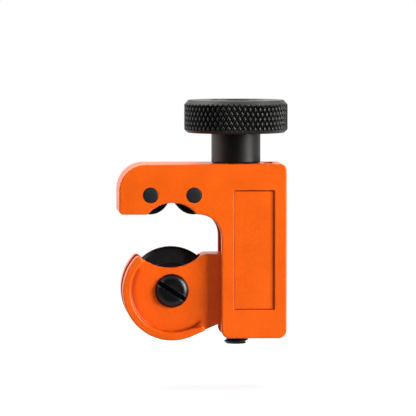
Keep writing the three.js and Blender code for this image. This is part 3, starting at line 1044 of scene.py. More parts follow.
@dataclass
class FrameCasting:
    """The C-shaped casting: arm, hollow column, sunken panels and the roof's slot."""

    column: float = 13.5
    arm: float = 10.4
    wall: float = 2.2
    roof: float = 2.0
    spine: float = 2.0
    end_gap: float = 0.4
    arm_top: float = 5.6
    arm_bottom: float = 0.9
    top_right: float = 1.3
    foot: float = 1.7
    inside: float = 0.65
    throat: float = 4.8
    notch: float = 6.6
    notch_rise: float = 2.4
    notch_blend: float = 0.5
    edge: float = 0.34
    mouth_edge: float = 0.22
    hole_edge: float = 0.07
    roof_edge: float = 0.12
    panel_side: float = 2.5
    panel_bottom: float = 5.9
    panel_top: float = 5.4
    panel_depth: float = 0.4
    panel_draft: float = 0.06
    panel_corner: float = 0.34
    slot_margin: float = 2.4
    slot_width: float = 1.9
    slot_side: float = 0.9
    screw_hole: float = 2.7
    pin_gap: float = 0.03
    box: Box = packed("frame")
    wheel: Box = packed("cutter_wheel")
    screw: Box = packed("feed_screw")
    pin_left: Box = packed("roller_pin_left")
    pin_right: Box = packed("roller_pin_right")
    roller: Box = packed("roller_left")

    @property
    def cavity_half(self) -> float:
        """Half the width of the hollow."""
        return self.box.high[1] - self.wall

    def outline(self) -> Outline:
        """The C, with the round notch between the rollers blended into the arm's underside."""
        left, _, bottom = self.box.low
        right, _, top = self.box.high
        under, open_edge = top - self.arm, right - self.column
        corners = Outline.rounded(
            [
                (left, under, self.arm_bottom),
                (open_edge, under, self.throat),
                (open_edge, bottom, self.foot),
                (right, bottom, self.foot),
                (right, top, self.top_right),
                (left, top, self.arm_top),
            ]
        )
        centre = np.array([self.wheel.centre[0], under + self.notch_rise - self.notch])
        height = under + self.notch_blend
        aside = math.sqrt((self.notch + self.notch_blend) ** 2 - (height - centre[1]) ** 2)
        blends = [centre + (side * aside, height - centre[1]) for side in (-1, 1)]
        down = -math.pi / 2
        enter, leave = bearing(blends[0], centre), bearing(blends[1], centre) + TURN
        edge = np.vstack(
            [
                arc(blends[0], self.notch_blend, down, enter),
                arc(centre, self.notch, enter + math.pi, leave - math.pi),
                arc(blends[1], self.notch_blend, leave, down + TURN),
            ]
        )
        return corners.with_notch(edge, centre[0])

    def cavity(self) -> bpy.types.Object:
        """Cutter for the hollow."""
        left, right = self.roller.low[0] - self.end_gap, self.box.high[0] - self.spine
        low, high = self.box.low[2] - THROUGH, self.box.high[2] - self.roof
        end_wall = left - self.box.low[0]
        outline = Outline.rounded(
            [
                (left, low, self.inside),
                (right, low, self.inside),
                (right, high, self.inside),
                (left, high, self.arm_top - end_wall),
            ]
        )
        return stacked("cavity", outline, [(0, -self.cavity_half), (0, self.cavity_half)])

    def recess(self) -> ShadedRecess:
        """The sunken panel's rectangle, which also carries the painted shade at its walls."""
        left = self.box.high[0] - self.column + self.panel_side
        low, high = self.box.low[2] + self.panel_bottom, self.box.high[2] - self.panel_top
        right = self.box.high[0] - self.panel_side
        return ShadedRecess(floats((left, low)), floats((right, high)), float(self.box.high[1]), self.panel_depth)

    def panel(self, side: int) -> bpy.types.Object:
        """Cutter for a sunken panel: drafted walls, an eased mouth and a small fillet at the floor.

        Args:
            side: -1 for the front, +1 for the back.

        Returns:
            The cutter.
        """
        (left, low), (right, high) = self.recess().low, self.recess().high
        radius = self.panel_corner
        places = ((left, low), (right, low), (right, high), (left, high))
        outline = Outline.rounded([(*place, radius) for place in places])
        floor = self.panel_depth
        mouth = [(-0.14, -1.0), (-0.14, 0.0), (-0.08, 0.03), (-0.03, 0.08), (0.0, 0.15)]
        foot = [(self.panel_draft, floor - 0.16), (0.09, floor - 0.08), (0.15, floor - 0.025), (0.23, floor)]
        steps = [(inset, side * (self.box.high[1] - depth)) for inset, depth in mouth + foot]
        return stacked("panel", outline, steps if side < 0 else steps[::-1])

    def cutters(self) -> list[bpy.types.Object]:
        """Everything that is taken out of the plate."""
        deep = self.box.high[1] + THROUGH
        screw = (self.screw.centre[0], self.screw.centre[1], 0)
        roof = self.box.high[2] - self.roof - THROUGH, self.box.high[2] + THROUGH
        slot_right = self.box.high[0] - self.slot_margin
        slot_left = slot_right - self.slot_width
        slot_half = self.cavity_half - self.slot_side
        out = [
            self.cavity(),
            self.panel(-1),
            self.panel(1),
            drill("hole", Axis.UP, screw, self.screw_hole, *roof, columns=128),
            block("slot", (slot_left, -slot_half, roof[0]), (slot_right, slot_half, roof[1])),
        ]
        for pin in (self.pin_left, self.pin_right):
            radius = pin.size[0] / 2 + self.pin_gap
            out.append(drill("pin_hole", Axis.BACK, (pin.centre[0], 0, pin.centre[2]), radius, -deep, deep))
        return out

    def edge_widths(self, edges: Edges) -> np.ndarray:
        """Width of each edge's rounding: small at the pins, none in the screw's hole, else the mouth's.

        Args:
            edges: the casting's edges.

        Returns:
            One width for each edge.
        """
        width = np.full(len(edges.angle), self.mouth_edge)
        for pin in (self.pin_left, self.pin_right):
            away = np.hypot(edges.middle[:, 0] - pin.centre[0], edges.middle[:, 2] - pin.centre[2])
            width[away < pin.size[0] / 2 + 0.4] = self.hole_edge
        in_roof = edges.middle[:, 2] > self.box.high[2] - self.roof - 0.1
        width[in_roof] = self.roof_edge
        inner = in_roof & (np.abs(edges.middle[:, 1]) < self.box.high[1] - self.wall + 0.05)
        width[inner & (edges.middle[:, 2] < self.box.high[2] - 0.3)] = 0
        return width

    def build(self, paint: PowderPaint) -> None:
        """Makes and dresses the casting.

        Args:
            paint: its finish.
        """
        steps = rounded_faces(self.edge, self.box.low[1], self.box.high[1])
        casting = stacked("frame_casting", self.outline(), steps)
        carve(casting, self.cutters())
        round_edges(casting, self.edge_widths)
        dress(casting, paint.build(), "frame", "frame")


@dataclass
class SlideCasting:
    """The slide: round end with its raised rim, saddle, sloping lower edge and threaded block."""

    outer: float = 10.2
    lower_slope: float = math.radians(23.5)
    top_above: float = 7.6
    block_below: float = 5.8
    block_chamfer: float = 0.6
    shoulder: float = 2.6
    saddle: float = 9.45
    saddle_at: tuple[float, float] = (-0.4, 14.2)
    slot_gap: float = 0.4
    slot_side: float = 0.15
    slot_mouth: float = 5.0
    rim_proud: float = 2.0
    rim_width: float = 1.6
    rim_end: float = 6.8
    rim_end_width: float = 1.05
    tip: float = 0.7
    edge: float = 0.3
    web_edge: float = 0.3
    hole_edge: float = 0.08
    slot_edge: float = 0.15
    lip: float = 0.34
    floor_fillet: float = 0.35
    draft: float = 0.12
    screw_gap: float = 0.08
    shoulder_hole: float = 2.5
    tapped_hole: float = 2.08
    tip_step: float = 0.01
    box: Box = packed("slide")
    wheel: Box = packed("cutter_wheel")
    screw: Box = packed("feed_screw")
    axle: np.ndarray = field(init=False)

    def __post_init__(self) -> None:
        """Finds the axle, from which the slide is drawn."""
        self.axle = self.wheel.centre[[0, 2]]

    @property
    def rim_face(self) -> float:
        """Distance of the rim's faces from the middle plane."""
        return self.box.high[1]

    @property
    def web_face(self) -> float:
        """Distance of the cheeks' faces from the middle plane."""
        return self.rim_face - self.rim_proud

    def rim_painted_shade(self) -> ShadedCorner:
        """Painted shade at the foot of the rim's inner wall, on both cheeks, widest towards the upper left.
        """
        centre = (float(self.axle[0]), 0.0, float(self.axle[1]))
        middle, half, deepest = math.radians(229), math.radians(86), math.radians(155)
        return ShadedCorner(centre, self.outer - self.rim_width, float(self.web_face), middle, half, deepest)

    @property
    def lower_start(self) -> np.ndarray:
        """Where the lower edge leaves the round end, as its tangent."""
        touch = self.lower_slope - math.pi / 2
        return self.axle + self.outer * np.array([math.cos(touch), math.sin(touch)])

    def lower_at(self, x: float) -> np.ndarray:
        """The lower edge's point at a given x."""
        start = self.lower_start
        return np.array([x, start[1] + (x - start[0]) * math.tan(self.lower_slope)])

    def outline(self) -> Outline:
        """Side view: round end, lower edge, block, flat top, shoulder and saddle."""
        top, bottom = self.axle[1] + self.top_above, self.axle[1] - self.block_below
        right = self.box.high[0]
        saddle = self.axle + self.saddle_at
        tip = crossing(self.axle, self.outer - self.tip, saddle, self.saddle + self.tip)
        outward, inward = bearing(self.axle, tip), bearing(tip, saddle)
        drop = saddle[1] - top + self.shoulder
        across = math.sqrt((self.saddle + self.shoulder) ** 2 - drop**2)
        shoulder = np.array([saddle[0] + across, top - self.shoulder])
        touch = bearing(shoulder, saddle)
        block_left = self.lower_start[0] + (bottom - self.lower_start[1]) / math.tan(self.lower_slope)
        chamfer = self.block_chamfer
        points = [
            arc(tip, self.tip, inward, outward)[:-1],
            arc(self.axle, self.outer, outward, self.lower_slope + 1.5 * math.pi),
            [(block_left, bottom), (right - chamfer, bottom), (right, bottom + chamfer)],
            [(right, top - chamfer), (right - chamfer, top)],
            arc(shoulder, self.shoulder, math.pi / 2, touch),
            arc(saddle, self.saddle, touch - math.pi, inward - math.pi)[1:-1],
        ]
        return Outline(np.vstack(points))

    def beside_rim(self) -> Outline:
        """What is cut away beside the rim: all inside its inner edge, and all right of its lower end."""
        past_by = 4 * THROUGH
        inner = self.outer - self.rim_width
        normal = np.array([-math.sin(self.lower_slope), math.cos(self.lower_slope)])
        outer_end = self.lower_at(self.axle[0] + self.rim_end)
        inner_end = outer_end + normal * self.rim_end_width
        past = outer_end - normal * past_by
        saddle = self.axle + self.saddle_at
        spread = math.acos(inner / float(np.linalg.norm(inner_end - self.axle)))
        leave = bearing(self.axle, inner_end) - spread + TURN
        tip = crossing(self.axle, inner + self.tip, saddle, self.saddle + self.tip - self.tip_step)
        right = self.box.high[0] + past_by
        meets, over = bearing(self.axle, tip), bearing(tip, saddle)
        bend = arc(tip, self.tip, over, meets - math.pi)[:-1]
        ahead = np.array([-math.sin(over), math.cos(over)])
        inside = np.array([math.cos(over), math.sin(over)])
        lead = bend[0] + ahead * 0.2
        points = [
            [saddle, lead + 4 * (ahead + 0.4 * inside), lead],
            bend,
            arc(self.axle, inner, meets, leave),
            [inner_end, past, (right, past[1]), (right, saddle[1])],
        ]
        return Outline(np.vstack(points)).softened(inner_end, self.tip)

    def pocket(self, side: int) -> bpy.types.Object:
        """Cutter beside the rim: eased lip, drafted wall and a fillet down to the cheek's face.

        Args:
            side: -1 for the front, +1 for the back.

        Returns:
            The cutter.
        """
        lip, floor, fillet = self.rim_face, self.web_face, self.floor_fillet
        ease = self.lip
        steps = [(-ease, lip + THROUGH)]
        steps += [(-inset, lip - depth) for inset, depth in quarter_round(ease, 0.0, 1.0)]
        angle = np.linspace(0, math.pi / 2, 6)
        insets = self.draft + fillet * (1 - np.cos(angle))
        depths = floor + fillet * (1 - np.sin(angle))
        steps += list(zip(insets.tolist(), depths.tolist()))
        steps = [(inset, side * y) for inset, y in steps]
        return stacked("pocket", self.beside_rim(), steps if side < 0 else steps[::-1])

    def wheel_slot(self) -> bpy.types.Object:
        """Cutter for the wheel: round on the right, open on the left, above, and below left of its mouth."""
        radius = self.wheel.size[0] / 2 + self.slot_gap
        outside = self.axle - self.outer - THROUGH
        mouth = math.acos(self.slot_mouth / radius)
        half = self.wheel.size[1] / 2 + self.slot_side
        points = [
            [outside, (self.axle[0] + self.slot_mouth, outside[1])],
            arc(self.axle, radius, -mouth, math.pi / 2),
            [(outside[0], self.axle[1] + radius)],
        ]
        return stacked("wheel_slot", Outline(np.vstack(points)), [(0, -half), (0, half)])

    def cutters(self) -> list[bpy.types.Object]:
        """Everything that is taken out of the plate."""
        deep = self.rim_face + THROUGH
        at = (self.axle[0], 0, self.axle[1])
        bore = self.screw.size[0] / 2 + self.screw_gap
        screw = (self.screw.centre[0], self.screw.centre[1], 0)
        low, high = self.box.low[2] - THROUGH, self.box.high[2] + THROUGH
        return [
            self.pocket(-1),
            self.pocket(1),
            self.wheel_slot(),
            drill("shoulder_hole", Axis.BACK, at, self.shoulder_hole, -deep, 0),
            drill("tapped_hole", Axis.BACK, at, self.tapped_hole, 0, deep),
            drill("feed_hole", Axis.UP, screw, bore, low, high),
        ]

    def edge_widths(self, edges: Edges) -> np.ndarray:
        """Width of each edge's rounding: small round the holes and the wheel's slot, wider on the cheeks.

        Args:
            edges: the casting's edges.

        Returns:
            One width for each edge.
        """
        width = np.zeros(len(edges.angle))
        side = np.abs(edges.middle[:, 1])
        width[np.abs(side - self.web_face) < 0.02] = self.web_edge
        away = np.hypot(edges.middle[:, 0] - self.axle[0], edges.middle[:, 2] - self.axle[1])
        width[away < 3] = self.hole_edge
        width[side < self.wheel.size[1] / 2 + self.slot_side + 0.05] = self.slot_edge
        return width

    def build(self, paint: PowderPaint) -> None:
        """Makes and dresses the casting.

        Args:
            paint: its finish.
        """
        steps = rounded_faces(self.edge, -self.rim_face, self.rim_face)
        casting = stacked("slide_casting", self.outline(), steps)
        carve(casting, self.cutters())
        round_edges(casting, self.edge_widths)
        dress(casting, paint.build(), "carriage", "slide")


@dataclass
class CuttingWheel:
    """The cutter wheel with its hub, and the slotted shoulder screw that it turns on."""

    hub: float = 6.1
    web_half: float = 1.15
    bevel_width: float = 0.75
    bevel_half: float = 0.6
    tip_half: float = 0.02
    bore: float = 2.5
    head: float = 3.5
    head_height: float = 1.0
    crown: tuple[tuple[float, float, float], ...] = (
        (2.45, 0.0, 0.34),
        (3.1, 0.34, 0.26),
        (3.46, 0.9, 0.08),
    )
    shoulder: float = 2.4
    slot_width: float = 1.0
    slot_depth: float = 0.6
    slot_turn: float = math.radians(33)
    thread_crest: float = 2.0
    thread_depth: float = 0.38
    thread_pitch: float = 0.7
    thread_row: float = 0.04
    wheel: Box = packed("cutter_wheel")
    screw: Box = packed("wheel_screw")

    @property
    def centre(self) -> tuple[float, float, float]:
        """Middle of the wheel."""
        return floats(self.wheel.centre)

    def make_wheel(self) -> bpy.types.Object:
        """Hub, coned web and ground bevel, with a fine line where the bevel starts."""
        radius, hub = self.wheel.size[0] / 2, self.wheel.size[1] / 2
        bevel = radius - self.bevel_width
        half = [
            (self.bore, hub, 0.12),
            (self.hub, hub, 0.34),
            (self.hub, self.web_half + 0.05, 0.18),
            (bevel - 0.25, self.bevel_half + 0.09, 0.0),
            (bevel, self.bevel_half, 0.03),
        ]
        mirrored = [(r, -y, ease) for r, y, ease in half]
        tip = [(radius, -self.tip_half, 0.0), (radius, self.tip_half, 0.0)]
        ring = eased([*mirrored, *tip, *half[::-1]], loop=True)
        return turned("cutting_wheel", Axis.BACK, self.centre, ring, loop=True, columns=192)

    def make_screw(self) -> bpy.types.Object:
        """Head, shoulder and thread, with the driver's slot cut across the head."""
        front, end = self.screw.low[1], self.screw.high[1]
        under = front + self.head_height
        shoulder_end = self.wheel.high[1] + 0.1
        crown = [(radius, front + deep, ease) for radius, deep, ease in self.crown]
        profile = eased([(0.0, front, 0.0), *crown, (self.head, under - 0.02, 0.0)])
        profile += [(self.head - 0.02, under), (self.shoulder, under), (self.shoulder, shoulder_end)]
        thread = Thread(self.thread_crest, self.thread_depth, self.thread_pitch, 0.0)
        heights = np.arange(shoulder_end, end, self.thread_row)
        columns = 96
        chamfer = self.thread_crest + (end - 0.3 - heights)[:, None]
        threaded = np.minimum(thread.radius(heights, columns), chamfer)
        tail = even([(float(threaded[-1].min()), end), (0.0, end)], columns)
        at = (self.centre[0], 0, self.centre[2])
        screw = wound("slotted_screw", Axis.BACK, at, [even(profile, columns), (threaded, heights), tail])
        reach, half = self.head + THROUGH, self.slot_width / 2
        low = (self.centre[0] - reach, front - self.slot_depth, self.centre[2] - half)
        high = (self.centre[0] + reach, front + self.slot_depth, self.centre[2] + half)
        carve(screw, [block("driver_slot", low, high, self.slot_turn)])
        return screw

    def build(self) -> None:
        """Makes and dresses the wheel and its screw."""
        wheel = self.make_wheel()
        smooth(wheel, 25)
        steel = TurnedBlack("wheel_steel", (0.044, 0.045, 0.047), Axis.BACK, self.centre, 0.36, 0.12)
        dress(wheel, steel.build(), "wheel", "cutter_wheel")
        screw = self.make_screw()
        round_edges(screw, lambda edges: np.where(edges.middle[:, 1] < self.screw.low[1] + 1, 0.06, 0.0), 50)
        # Bare metal rubbed beside the driver's slot, and painted shade inside it.
        under = float(self.screw.low[1]) + self.head_height - self.centre[1]
        slot = SlotWearAndShade(self.slot_turn, self.slot_width / 2, under)
        colour = (0.036, 0.037, 0.038)
        black = TurnedBlack("screw_black", colour, Axis.BACK, self.centre, 0.33, 0.2, 0.7, slot=slot)
        dress(screw, black.build(), "carriage", "wheel_screw")


@dataclass
class Rollers:
    """The two rollers and the pins that they turn on."""

    chamfer: float = 0.3
    bore: float = 1.7
    pin_edge: float = 0.15
    sides: tuple[str, str] = ("left", "right")

    def make_roller(self, side: str) -> bpy.types.Object:
        """A plain roller with eased ends.

        Args:
            side: left or right.

        Returns:
            The roller.
        """
        box = Box.of(f"roller_{side}")
        radius, half = box.size[0] / 2, box.size[1] / 2
        edge = radius - self.chamfer
        corners = [
            (self.bore, -half, 0.1),
            (edge, -half, 0.08),
            (radius, self.chamfer - half, 0.1),
            (radius, half - self.chamfer, 0.1),
            (edge, half, 0.08),
            (self.bore, half, 0.1),
        ]
        ring = eased(corners, loop=True)
        return turned(f"roller_{side}_turned", Axis.BACK, box.centre, ring, loop=True, columns=160)

    def make_pin(self, side: str) -> bpy.types.Object:
        """A straight pin with slightly domed, eased ends.

        Args:
            side: left or right.

        Returns:
            The pin.
        """
        box = Box.of(f"roller_pin_{side}")
        radius, half = box.size[0] / 2, box.size[1] / 2
        edge = radius - self.pin_edge
        corners = [
            (0.0, -half, 0.0),
            (edge * 0.75, -half + 0.005, 0.0),
            (edge, -half + 0.03, 0.05),
            (radius, self.pin_edge - half, 0.06),
            (radius, half - self.pin_edge, 0.06),
            (edge, half - 0.03, 0.05),
            (edge * 0.75, half - 0.005, 0.0),
            (0.0, half, 0.0),
        ]
        return turned(f"roller_pin_{side}_cut", Axis.BACK, box.centre, eased(corners), columns=96)

    def build(self) -> None:
        """Makes and dresses both rollers and both pins."""
        for side in self.sides:
            roller, pin = self.make_roller(side), self.make_pin(side)
            smooth(roller, 30)
            smooth(pin, 30)
            centre = floats(Box.of(f"roller_{side}").centre)
            black = TurnedBlack(f"roller_black_{side}", (0.012, 0.013, 0.014), Axis.BACK, centre, 0.4)
            dress(roller, black.build(), f"{side}_roller", f"roller_{side}")
            grey = (0.05, 0.053, 0.056)
            steel = TurnedBlack(f"pin_black_{side}", grey, Axis.BACK, centre, 0.5, 0.15, 0.35)
            dress(pin, steel.build(), "frame", f"roller_pin_{side}")


@dataclass
class Feed:
    """What turns as one: the feed screw, the knurled knob, and the clip and washer under the roof."""

    crest: float = 2.6
    thread_depth: float = 0.6
    pitch: float = 1.25
    thread_row: float = 0.05
    relief: float = 0.1
    clip_shoulder: float = 0.25
    runout: float = 0.8
    end_chamfer: float = 0.6
    groove: float = 0.55
    knob_height: float = 6.8
    neck: float = 5.1
    neck_edge: float = 0.3
    top_chamfer: tuple[float, float] = (0.85, 0.95)
    bottom_chamfer: float = 0.7
    dish: float = 5.8
    dish_depth: float = 0.8
    dish_slope: float = 0.2
    bore_depth: float = 10.0
    knurl_depth: float = 0.26
    knurl_groove: float = 0.3
    knurls: int = 60
    knurl_height: float = 2.0
    clip_mouth: float = 1.7
    clip_recess: float = 3.0
    clip_play: float = 0.05
    fit: float = 0.03
    washer_gap: float = 0.1
    lug: float = 0.35
    screw: Box = packed("feed_screw")
    knob: Box = packed("knob")
    washer: Box = packed("clip_washer")
    clip: Box = packed("retaining_clip")
    casting: Box = packed("frame")

    @property
    def axis(self) -> np.ndarray:
        """Foot of the feed screw's axis."""
        return np.array([self.screw.centre[0], self.screw.centre[1], 0.0])

    def make_screw(self) -> bpy.types.Object:
        """Threaded bar, plain shank and clip groove, with the radius a function of height and angle."""
        columns = 96
        low, high = self.screw.low[2], self.screw.high[2]
        thread_top = self.clip.low[2] - self.clip_shoulder - self.runout
        thread = Thread(self.crest, self.thread_depth, self.pitch, self.casting.low[2])
        heights = np.arange(low, thread_top, self.thread_row)
        start = (self.crest - self.end_chamfer + (heights - low))[:, None]
        runout = (self.crest - self.thread_depth + np.maximum(0, thread_top - heights))[:, None]
        threaded = np.minimum(np.minimum(thread.radius(heights, columns), start), runout)
        shank, groove = self.crest - self.relief, self.crest - self.relief - self.groove
        under, over = self.clip.low[2] - self.clip_play, self.clip.high[2] + self.clip_play
        core = self.crest - self.thread_depth
        rest = [(core, thread_top), (shank, thread_top + 0.5), (shank, under), (groove, under)]
        rest += [(groove, over), (shank, over), (shank, high - 0.3), (shank - 0.3, high), (0.0, high)]
        runs = [even([(0.0, low)], columns), (threaded, heights), even(rest, columns)]
        return wound("threaded_screw", Axis.UP, self.axis, runs)

    def make_knob(self) -> bpy.types.Object:
        """The knob: one surface from the dish's middle over the knurl and down the neck into the bore.

        On the knurled band two families of grooves cross, a = N t + h / P and b = N t - h / P with t the
        share of a turn. With g = 1 - min(|a|, |b|) / w, each taken to the nearest groove and g kept from 0
        to 1, the radius is the outside radius less depth * g^1.15. The chamfers cut it off at both edges.
        """
        columns = 720
        low, top = self.knob.low[2], self.knob.high[2]
        radius = self.knob.size[0] / 2
        under = top - self.knob_height
        bore, bore_top = self.crest - self.relief + self.fit, low + self.bore_depth
        head = eased(
            [
                (0.0, top - self.dish_depth, 0.0),
                (self.dish - self.dish_slope, top - self.dish_depth, 0.3),
                (self.dish, top, 0.16),
                (radius - self.top_chamfer[0], top, 0.12),
            ]
        )[:-1]
        band_top, band_low = top - 0.02, under + 0.02
        band = np.linspace(band_top, band_low, 66)
        share = np.arange(columns)[None, :] / columns
        rise = (band[:, None] - under) / self.knurl_height
        saw = [np.abs((self.knurls * share + sign * rise + 0.5) % 1.0 - 0.5) for sign in (1, -1)]
        groove = np.clip(1 - np.minimum(saw[0], saw[1]) / self.knurl_groove, 0, 1)
        knurl = radius - self.knurl_depth * groove**1.15
        slope = self.top_chamfer[0] / self.top_chamfer[1]
        top_cone = radius - self.top_chamfer[0] + (top - band) * slope
        low_cone = radius - self.bottom_chamfer + (band - under)
        knurl = np.minimum(knurl, np.minimum(top_cone, low_cone)[:, None])
        neck = eased(
            [
                (radius - self.bottom_chamfer - 0.1, under, 0.0),
                (self.neck, under, 0.12),
                (self.neck, low, self.neck_edge),
                (bore, low, 0.1),
                (bore, bore_top, 0.0),
                (0.0, bore_top, 0.0),
            ]
        )
        runs = [even(head, columns), (knurl, band), even(neck, columns)]
        return wound("knurled_knob", Axis.UP, self.axis, runs)

    def make_washer(self) -> bpy.types.Object:
        """Flat washer with eased edges."""
        low, high, radius = self.washer.low[2], self.washer.high[2], self.washer.size[0] / 2
        bore = self.crest + self.washer_gap
        corners = [(bore, low, 0.08), (radius, low, 0.12), (radius, high, 0.12), (bore, high, 0.08)]
        return turned("flat_washer", Axis.UP, self.axis, eased(corners, loop=True), loop=True)

    def make_clip(self) -> bpy.types.Object:
        """E-clip: a ring open on the +x side, with three lugs that reach into the screw's groove."""
        centre = np.zeros(2)
        radius = self.clip.size[1] / 2
        inner = self.crest - self.relief - self.groove + self.fit
        outer_mouth, inner_mouth = math.asin(self.clip_mouth / radius), math.asin(self.clip_mouth / inner)
        lug, half = inner_mouth + self.lug, self.lug
        points = [
            arc(centre, radius, outer_mouth, TURN - outer_mouth),
            arc(centre, inner, TURN - inner_mouth, TURN - lug),
            arc(centre, self.clip_recess, TURN - lug, math.pi + half),
            arc(centre, inner, math.pi + half, math.pi - half),
            arc(centre, self.clip_recess, math.pi - half, lug),
            arc(centre, inner, lug, inner_mouth),
        ]
        low, high = self.clip.low[2], self.clip.high[2]
        ease = 0.07
        steps = [(ease, low), (0.0, low + ease), (0.0, high - ease), (ease, high)]
        clip = stacked("e_clip", Outline(np.vstack(points)), steps)
        lay_flat = Matrix(((1, 0, 0, 0), (0, 0, -1, 0), (0, 1, 0, 0), (0, 0, 0, 1)))
        shift = Matrix.Translation(Vector(self.axis * MM))
        clip.data.transform(shift @ lay_flat)
        return clip

    def build(self) -> None:
        """Makes and dresses the four pieces."""
        centre = floats(self.axis)
        screw = self.make_screw()
        smooth(screw, 50)
        black = TurnedBlack("feed_black", (0.012, 0.013, 0.014), Axis.UP, centre, 0.36, 0.2)
        dress(screw, black.build(), "feed", "feed_screw")
        knob = self.make_knob()
        smooth(knob, 34)
        # painted shade in the knurl's grooves, between these heights
        low, high = self.knob.high[2] - self.knob_height + 0.7, self.knob.high[2] - 0.9
        grooves = GrooveShade(self.knurl_depth, self.knob.size[0] / 2, float(low), float(high))
        colour = (0.032, 0.032, 0.031)
        oxide = TurnedBlack("knob_black", colour, Axis.UP, centre, 0.42, 0.12, 0.2, grooves=grooves)
        dress(knob, oxide.build(), "feed", "knob")
        washer, clip = self.make_washer(), self.make_clip()
        smooth(washer, 30)
        smooth(clip, 30)
        spring = TurnedBlack("spring_grey", (0.05, 0.05, 0.055), Axis.UP, centre, 0.42, 0.2)
        dress(washer, spring.build(), "feed", "clip_washer")
        dress(clip, spring.build(), "feed", "retaining_clip")


# ---- Studio ----


@dataclass(frozen=True)
class Softbox:
    """A soft area lamp, set by its direction from the tool."""

    name: str
    azimuth: float
    elevation: float
    distance: float
    size: tuple[float, float]
    power: float

    def build(self, target: Vector) -> None:
        """Makes the lamp.

        Args:
            target: what it faces.
        """
        data = bpy.data.lights.new(self.name, "AREA")
        data.shape, data.size, data.size_y = "RECTANGLE", *self.size
        data.energy = self.power
        lamp = bpy.data.objects.new(self.name, data)
        bpy.context.scene.collection.objects.link(lamp)
        lamp.matrix_world = looking(target, self.azimuth, self.elevation, self.distance)


def looking(target: Vector, azimuth: float, elevation: float, distance: float) -> Matrix:
    """The place of a camera or lamp that faces a target.

    Args:
        target: what it faces.
        azimuth: degrees round to the right of straight in front.
        elevation: degrees above level.
        distance: metres from the target.

    Returns:
        Its matrix.
    """
    turn, lift = math.radians(azimuth), math.radians(elevation)
    away = Vector((math.sin(turn) * math.cos(lift), -math.cos(turn) * math.cos(lift), math.sin(lift)))
    spin = away.to_track_quat("Z", "Y").to_matrix().to_4x4()
    return Matrix.Translation(target + away * distance) @ spin


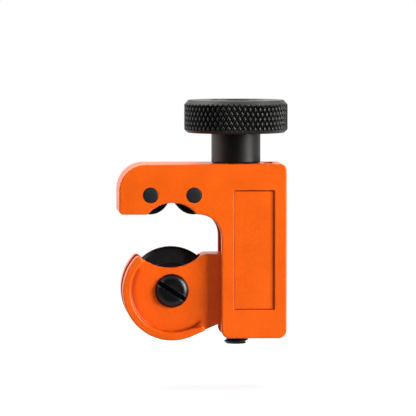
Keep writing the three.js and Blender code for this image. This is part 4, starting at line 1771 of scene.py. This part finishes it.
@dataclass
class Studio:
    """Floor, backdrop, lamps and camera."""

    target: Vector = field(default_factory=lambda: Vector((0.00112, 0.0, 0.0282)))
    azimuth: float = -3.5
    elevation: float = 3.0
    distance: float = 1.0
    field_width: float = 0.0865
    sensor: float = 36.0
    floor: float = -0.0085
    floor_half: float = 40.0
    floor_grey: float = 0.35
    floor_pale: float = 0.9
    near_white: float = 0.84
    fade: tuple[float, float] = (0.06, 0.5)
    ambient: float = 0.04
    dark_front: float = 0.01
    overhead: float = 0.8
    back_turn: float = math.radians(32)
    lamps: tuple[Softbox, ...] = (
        Softbox("key", 61, 12, 0.9, (0.36, 0.7), 19.6),
        Softbox("upper_left", -62, 30, 1.0, (1.1, 0.9), 2.0),
        Softbox("left", -105, 6, 1.0, (0.9, 1.2), 10.0),
        Softbox("top", 180, 64, 0.9, (1.2, 0.6), 18.0),
    )

    def build(self) -> None:
        """Makes everything in the studio."""
        self._camera()
        self._floor()
        self._world()
        for lamp in self.lamps:
            lamp.build(self.target)
        bpy.context.scene.view_settings.view_transform = "Standard"

    def _camera(self) -> None:
        """Long lens, slightly above and left of straight in front."""
        data = bpy.data.cameras.new("camera")
        data.sensor_width = self.sensor
        data.lens = self.sensor * self.distance / self.field_width
        data.clip_start, data.clip_end = 0.05, 4 * self.floor_half
        camera = bpy.data.objects.new("camera", data)
        bpy.context.scene.collection.objects.link(camera)
        camera.matrix_world = looking(self.target, self.azimuth, self.elevation, self.distance)
        bpy.context.scene.camera = camera

    def _floor(self) -> None:
        """A wide pale floor just under the lowest point that the slide reaches, fading to the backdrop."""
        half = self.floor_half
        mesh = bpy.data.meshes.new("floor")
        corners = [(x * half, y * half, self.floor) for x, y in ((-1, -1), (1, -1), (1, 1), (-1, 1))]
        mesh.from_pydata(corners, [], [(0, 1, 2, 3)])
        floor = bpy.data.objects.new("floor", mesh)
        bpy.context.scene.collection.objects.link(floor)
        material = bpy.data.materials.new("floor_white")
        material.use_nodes = True
        nodes = Nodes(material.node_tree)
        place = nodes.add("ShaderNodeTexCoord", out="Object")
        away = nodes.add("ShaderNodeVectorMath", {"operation": "LENGTH"}, {0: place}, out="Value")
        shown, mirrored = seen(nodes)
        tone = nodes.mix(shown, (self.floor_grey,) * 3 + (1,), (self.floor_pale,) * 3 + (1,))
        diffuse = nodes.add("ShaderNodeBsdfDiffuse", {}, {"Color": tone})
        light = nodes.add("ShaderNodeEmission", {}, {"Color": (1, 1, 1, 1), "Strength": 1.0})
        white = self.near_white + (1 - self.near_white) * away.band(*self.fade)
        back = nodes.split(place)[1]
        mirror = self.dark_front + (1 - self.dark_front) * back.band(-0.15, 0.05)
        mixed = nodes.add("ShaderNodeMixShader", {}, {0: shown * white, 1: diffuse, 2: light})
        glow = nodes.add("ShaderNodeEmission", {}, {"Color": mirror, "Strength": 1.0})
        mixed = nodes.add("ShaderNodeMixShader", {}, {0: mirrored, 1: mixed, 2: glow})
        nodes.add("ShaderNodeOutputMaterial", {}, {"Surface": mixed})
        floor.data.materials.append(material)

    def _world(self) -> None:
        """White where it is seen, a plain level where it lights, and white in mirrors but for the front.

        In mirrors the level climbs from dark_front in front of the tool to 1 at its sides and behind, where
        behind is turned to the left by back_turn, and to overhead straight above.
        """
        world = bpy.data.worlds.new("studio")
        world.use_nodes = True
        bpy.context.scene.world = world
        nodes = Nodes(world.node_tree)
        shown, mirrored = seen(nodes)
        direction = nodes.add("ShaderNodeTexCoord", out="Generated")
        axis = (-math.sin(self.back_turn), math.cos(self.back_turn), 0.0)
        back = nodes.towards(direction, axis)
        above = nodes.split(direction)[2].band(0.5, 0.95)
        lit = back.band(-0.2, 0.5).larger(above * self.overhead)
        sides = self.dark_front + (1 - self.dark_front) * lit
        strength = shown.larger(mirrored * sides).larger(self.ambient)
        light = nodes.add("ShaderNodeBackground", {}, {"Color": (1, 1, 1, 1), "Strength": strength})
        nodes.add("ShaderNodeOutputWorld", {}, {"Surface": light})


def seen(nodes: Nodes) -> tuple[Value, Value]:
    """1 for rays from the camera, and 1 for mirrored and transmitted ones."""
    names = ("Is Camera Ray", "Is Glossy Ray", "Is Transmission Ray")
    shown, mirrored, through = (nodes.add("ShaderNodeLightPath", out=name) for name in names)
    return shown, mirrored.larger(through)


def main() -> None:
    """Builds the studio and every piece, in order."""
    logging.basicConfig(level=logging.INFO, format="%(name)s %(message)s")
    Studio().build()
    casting = FrameCasting()
    # Both paints carry painted shade: at the panel's walls and at the foot of the slide's rim.
    casting.build(PowderPaint("frame_paint_satin", (0.8, 0.105, 0.001), corner=casting.recess()))
    slide = SlideCasting()
    slide.build(PowderPaint("slide_paint_satin", (0.8, 0.1, 0.001), corner=slide.rim_painted_shade()))
    CuttingWheel().build()
    Rollers().build()
    Feed().build()


if __name__ == "__main__":
    main()
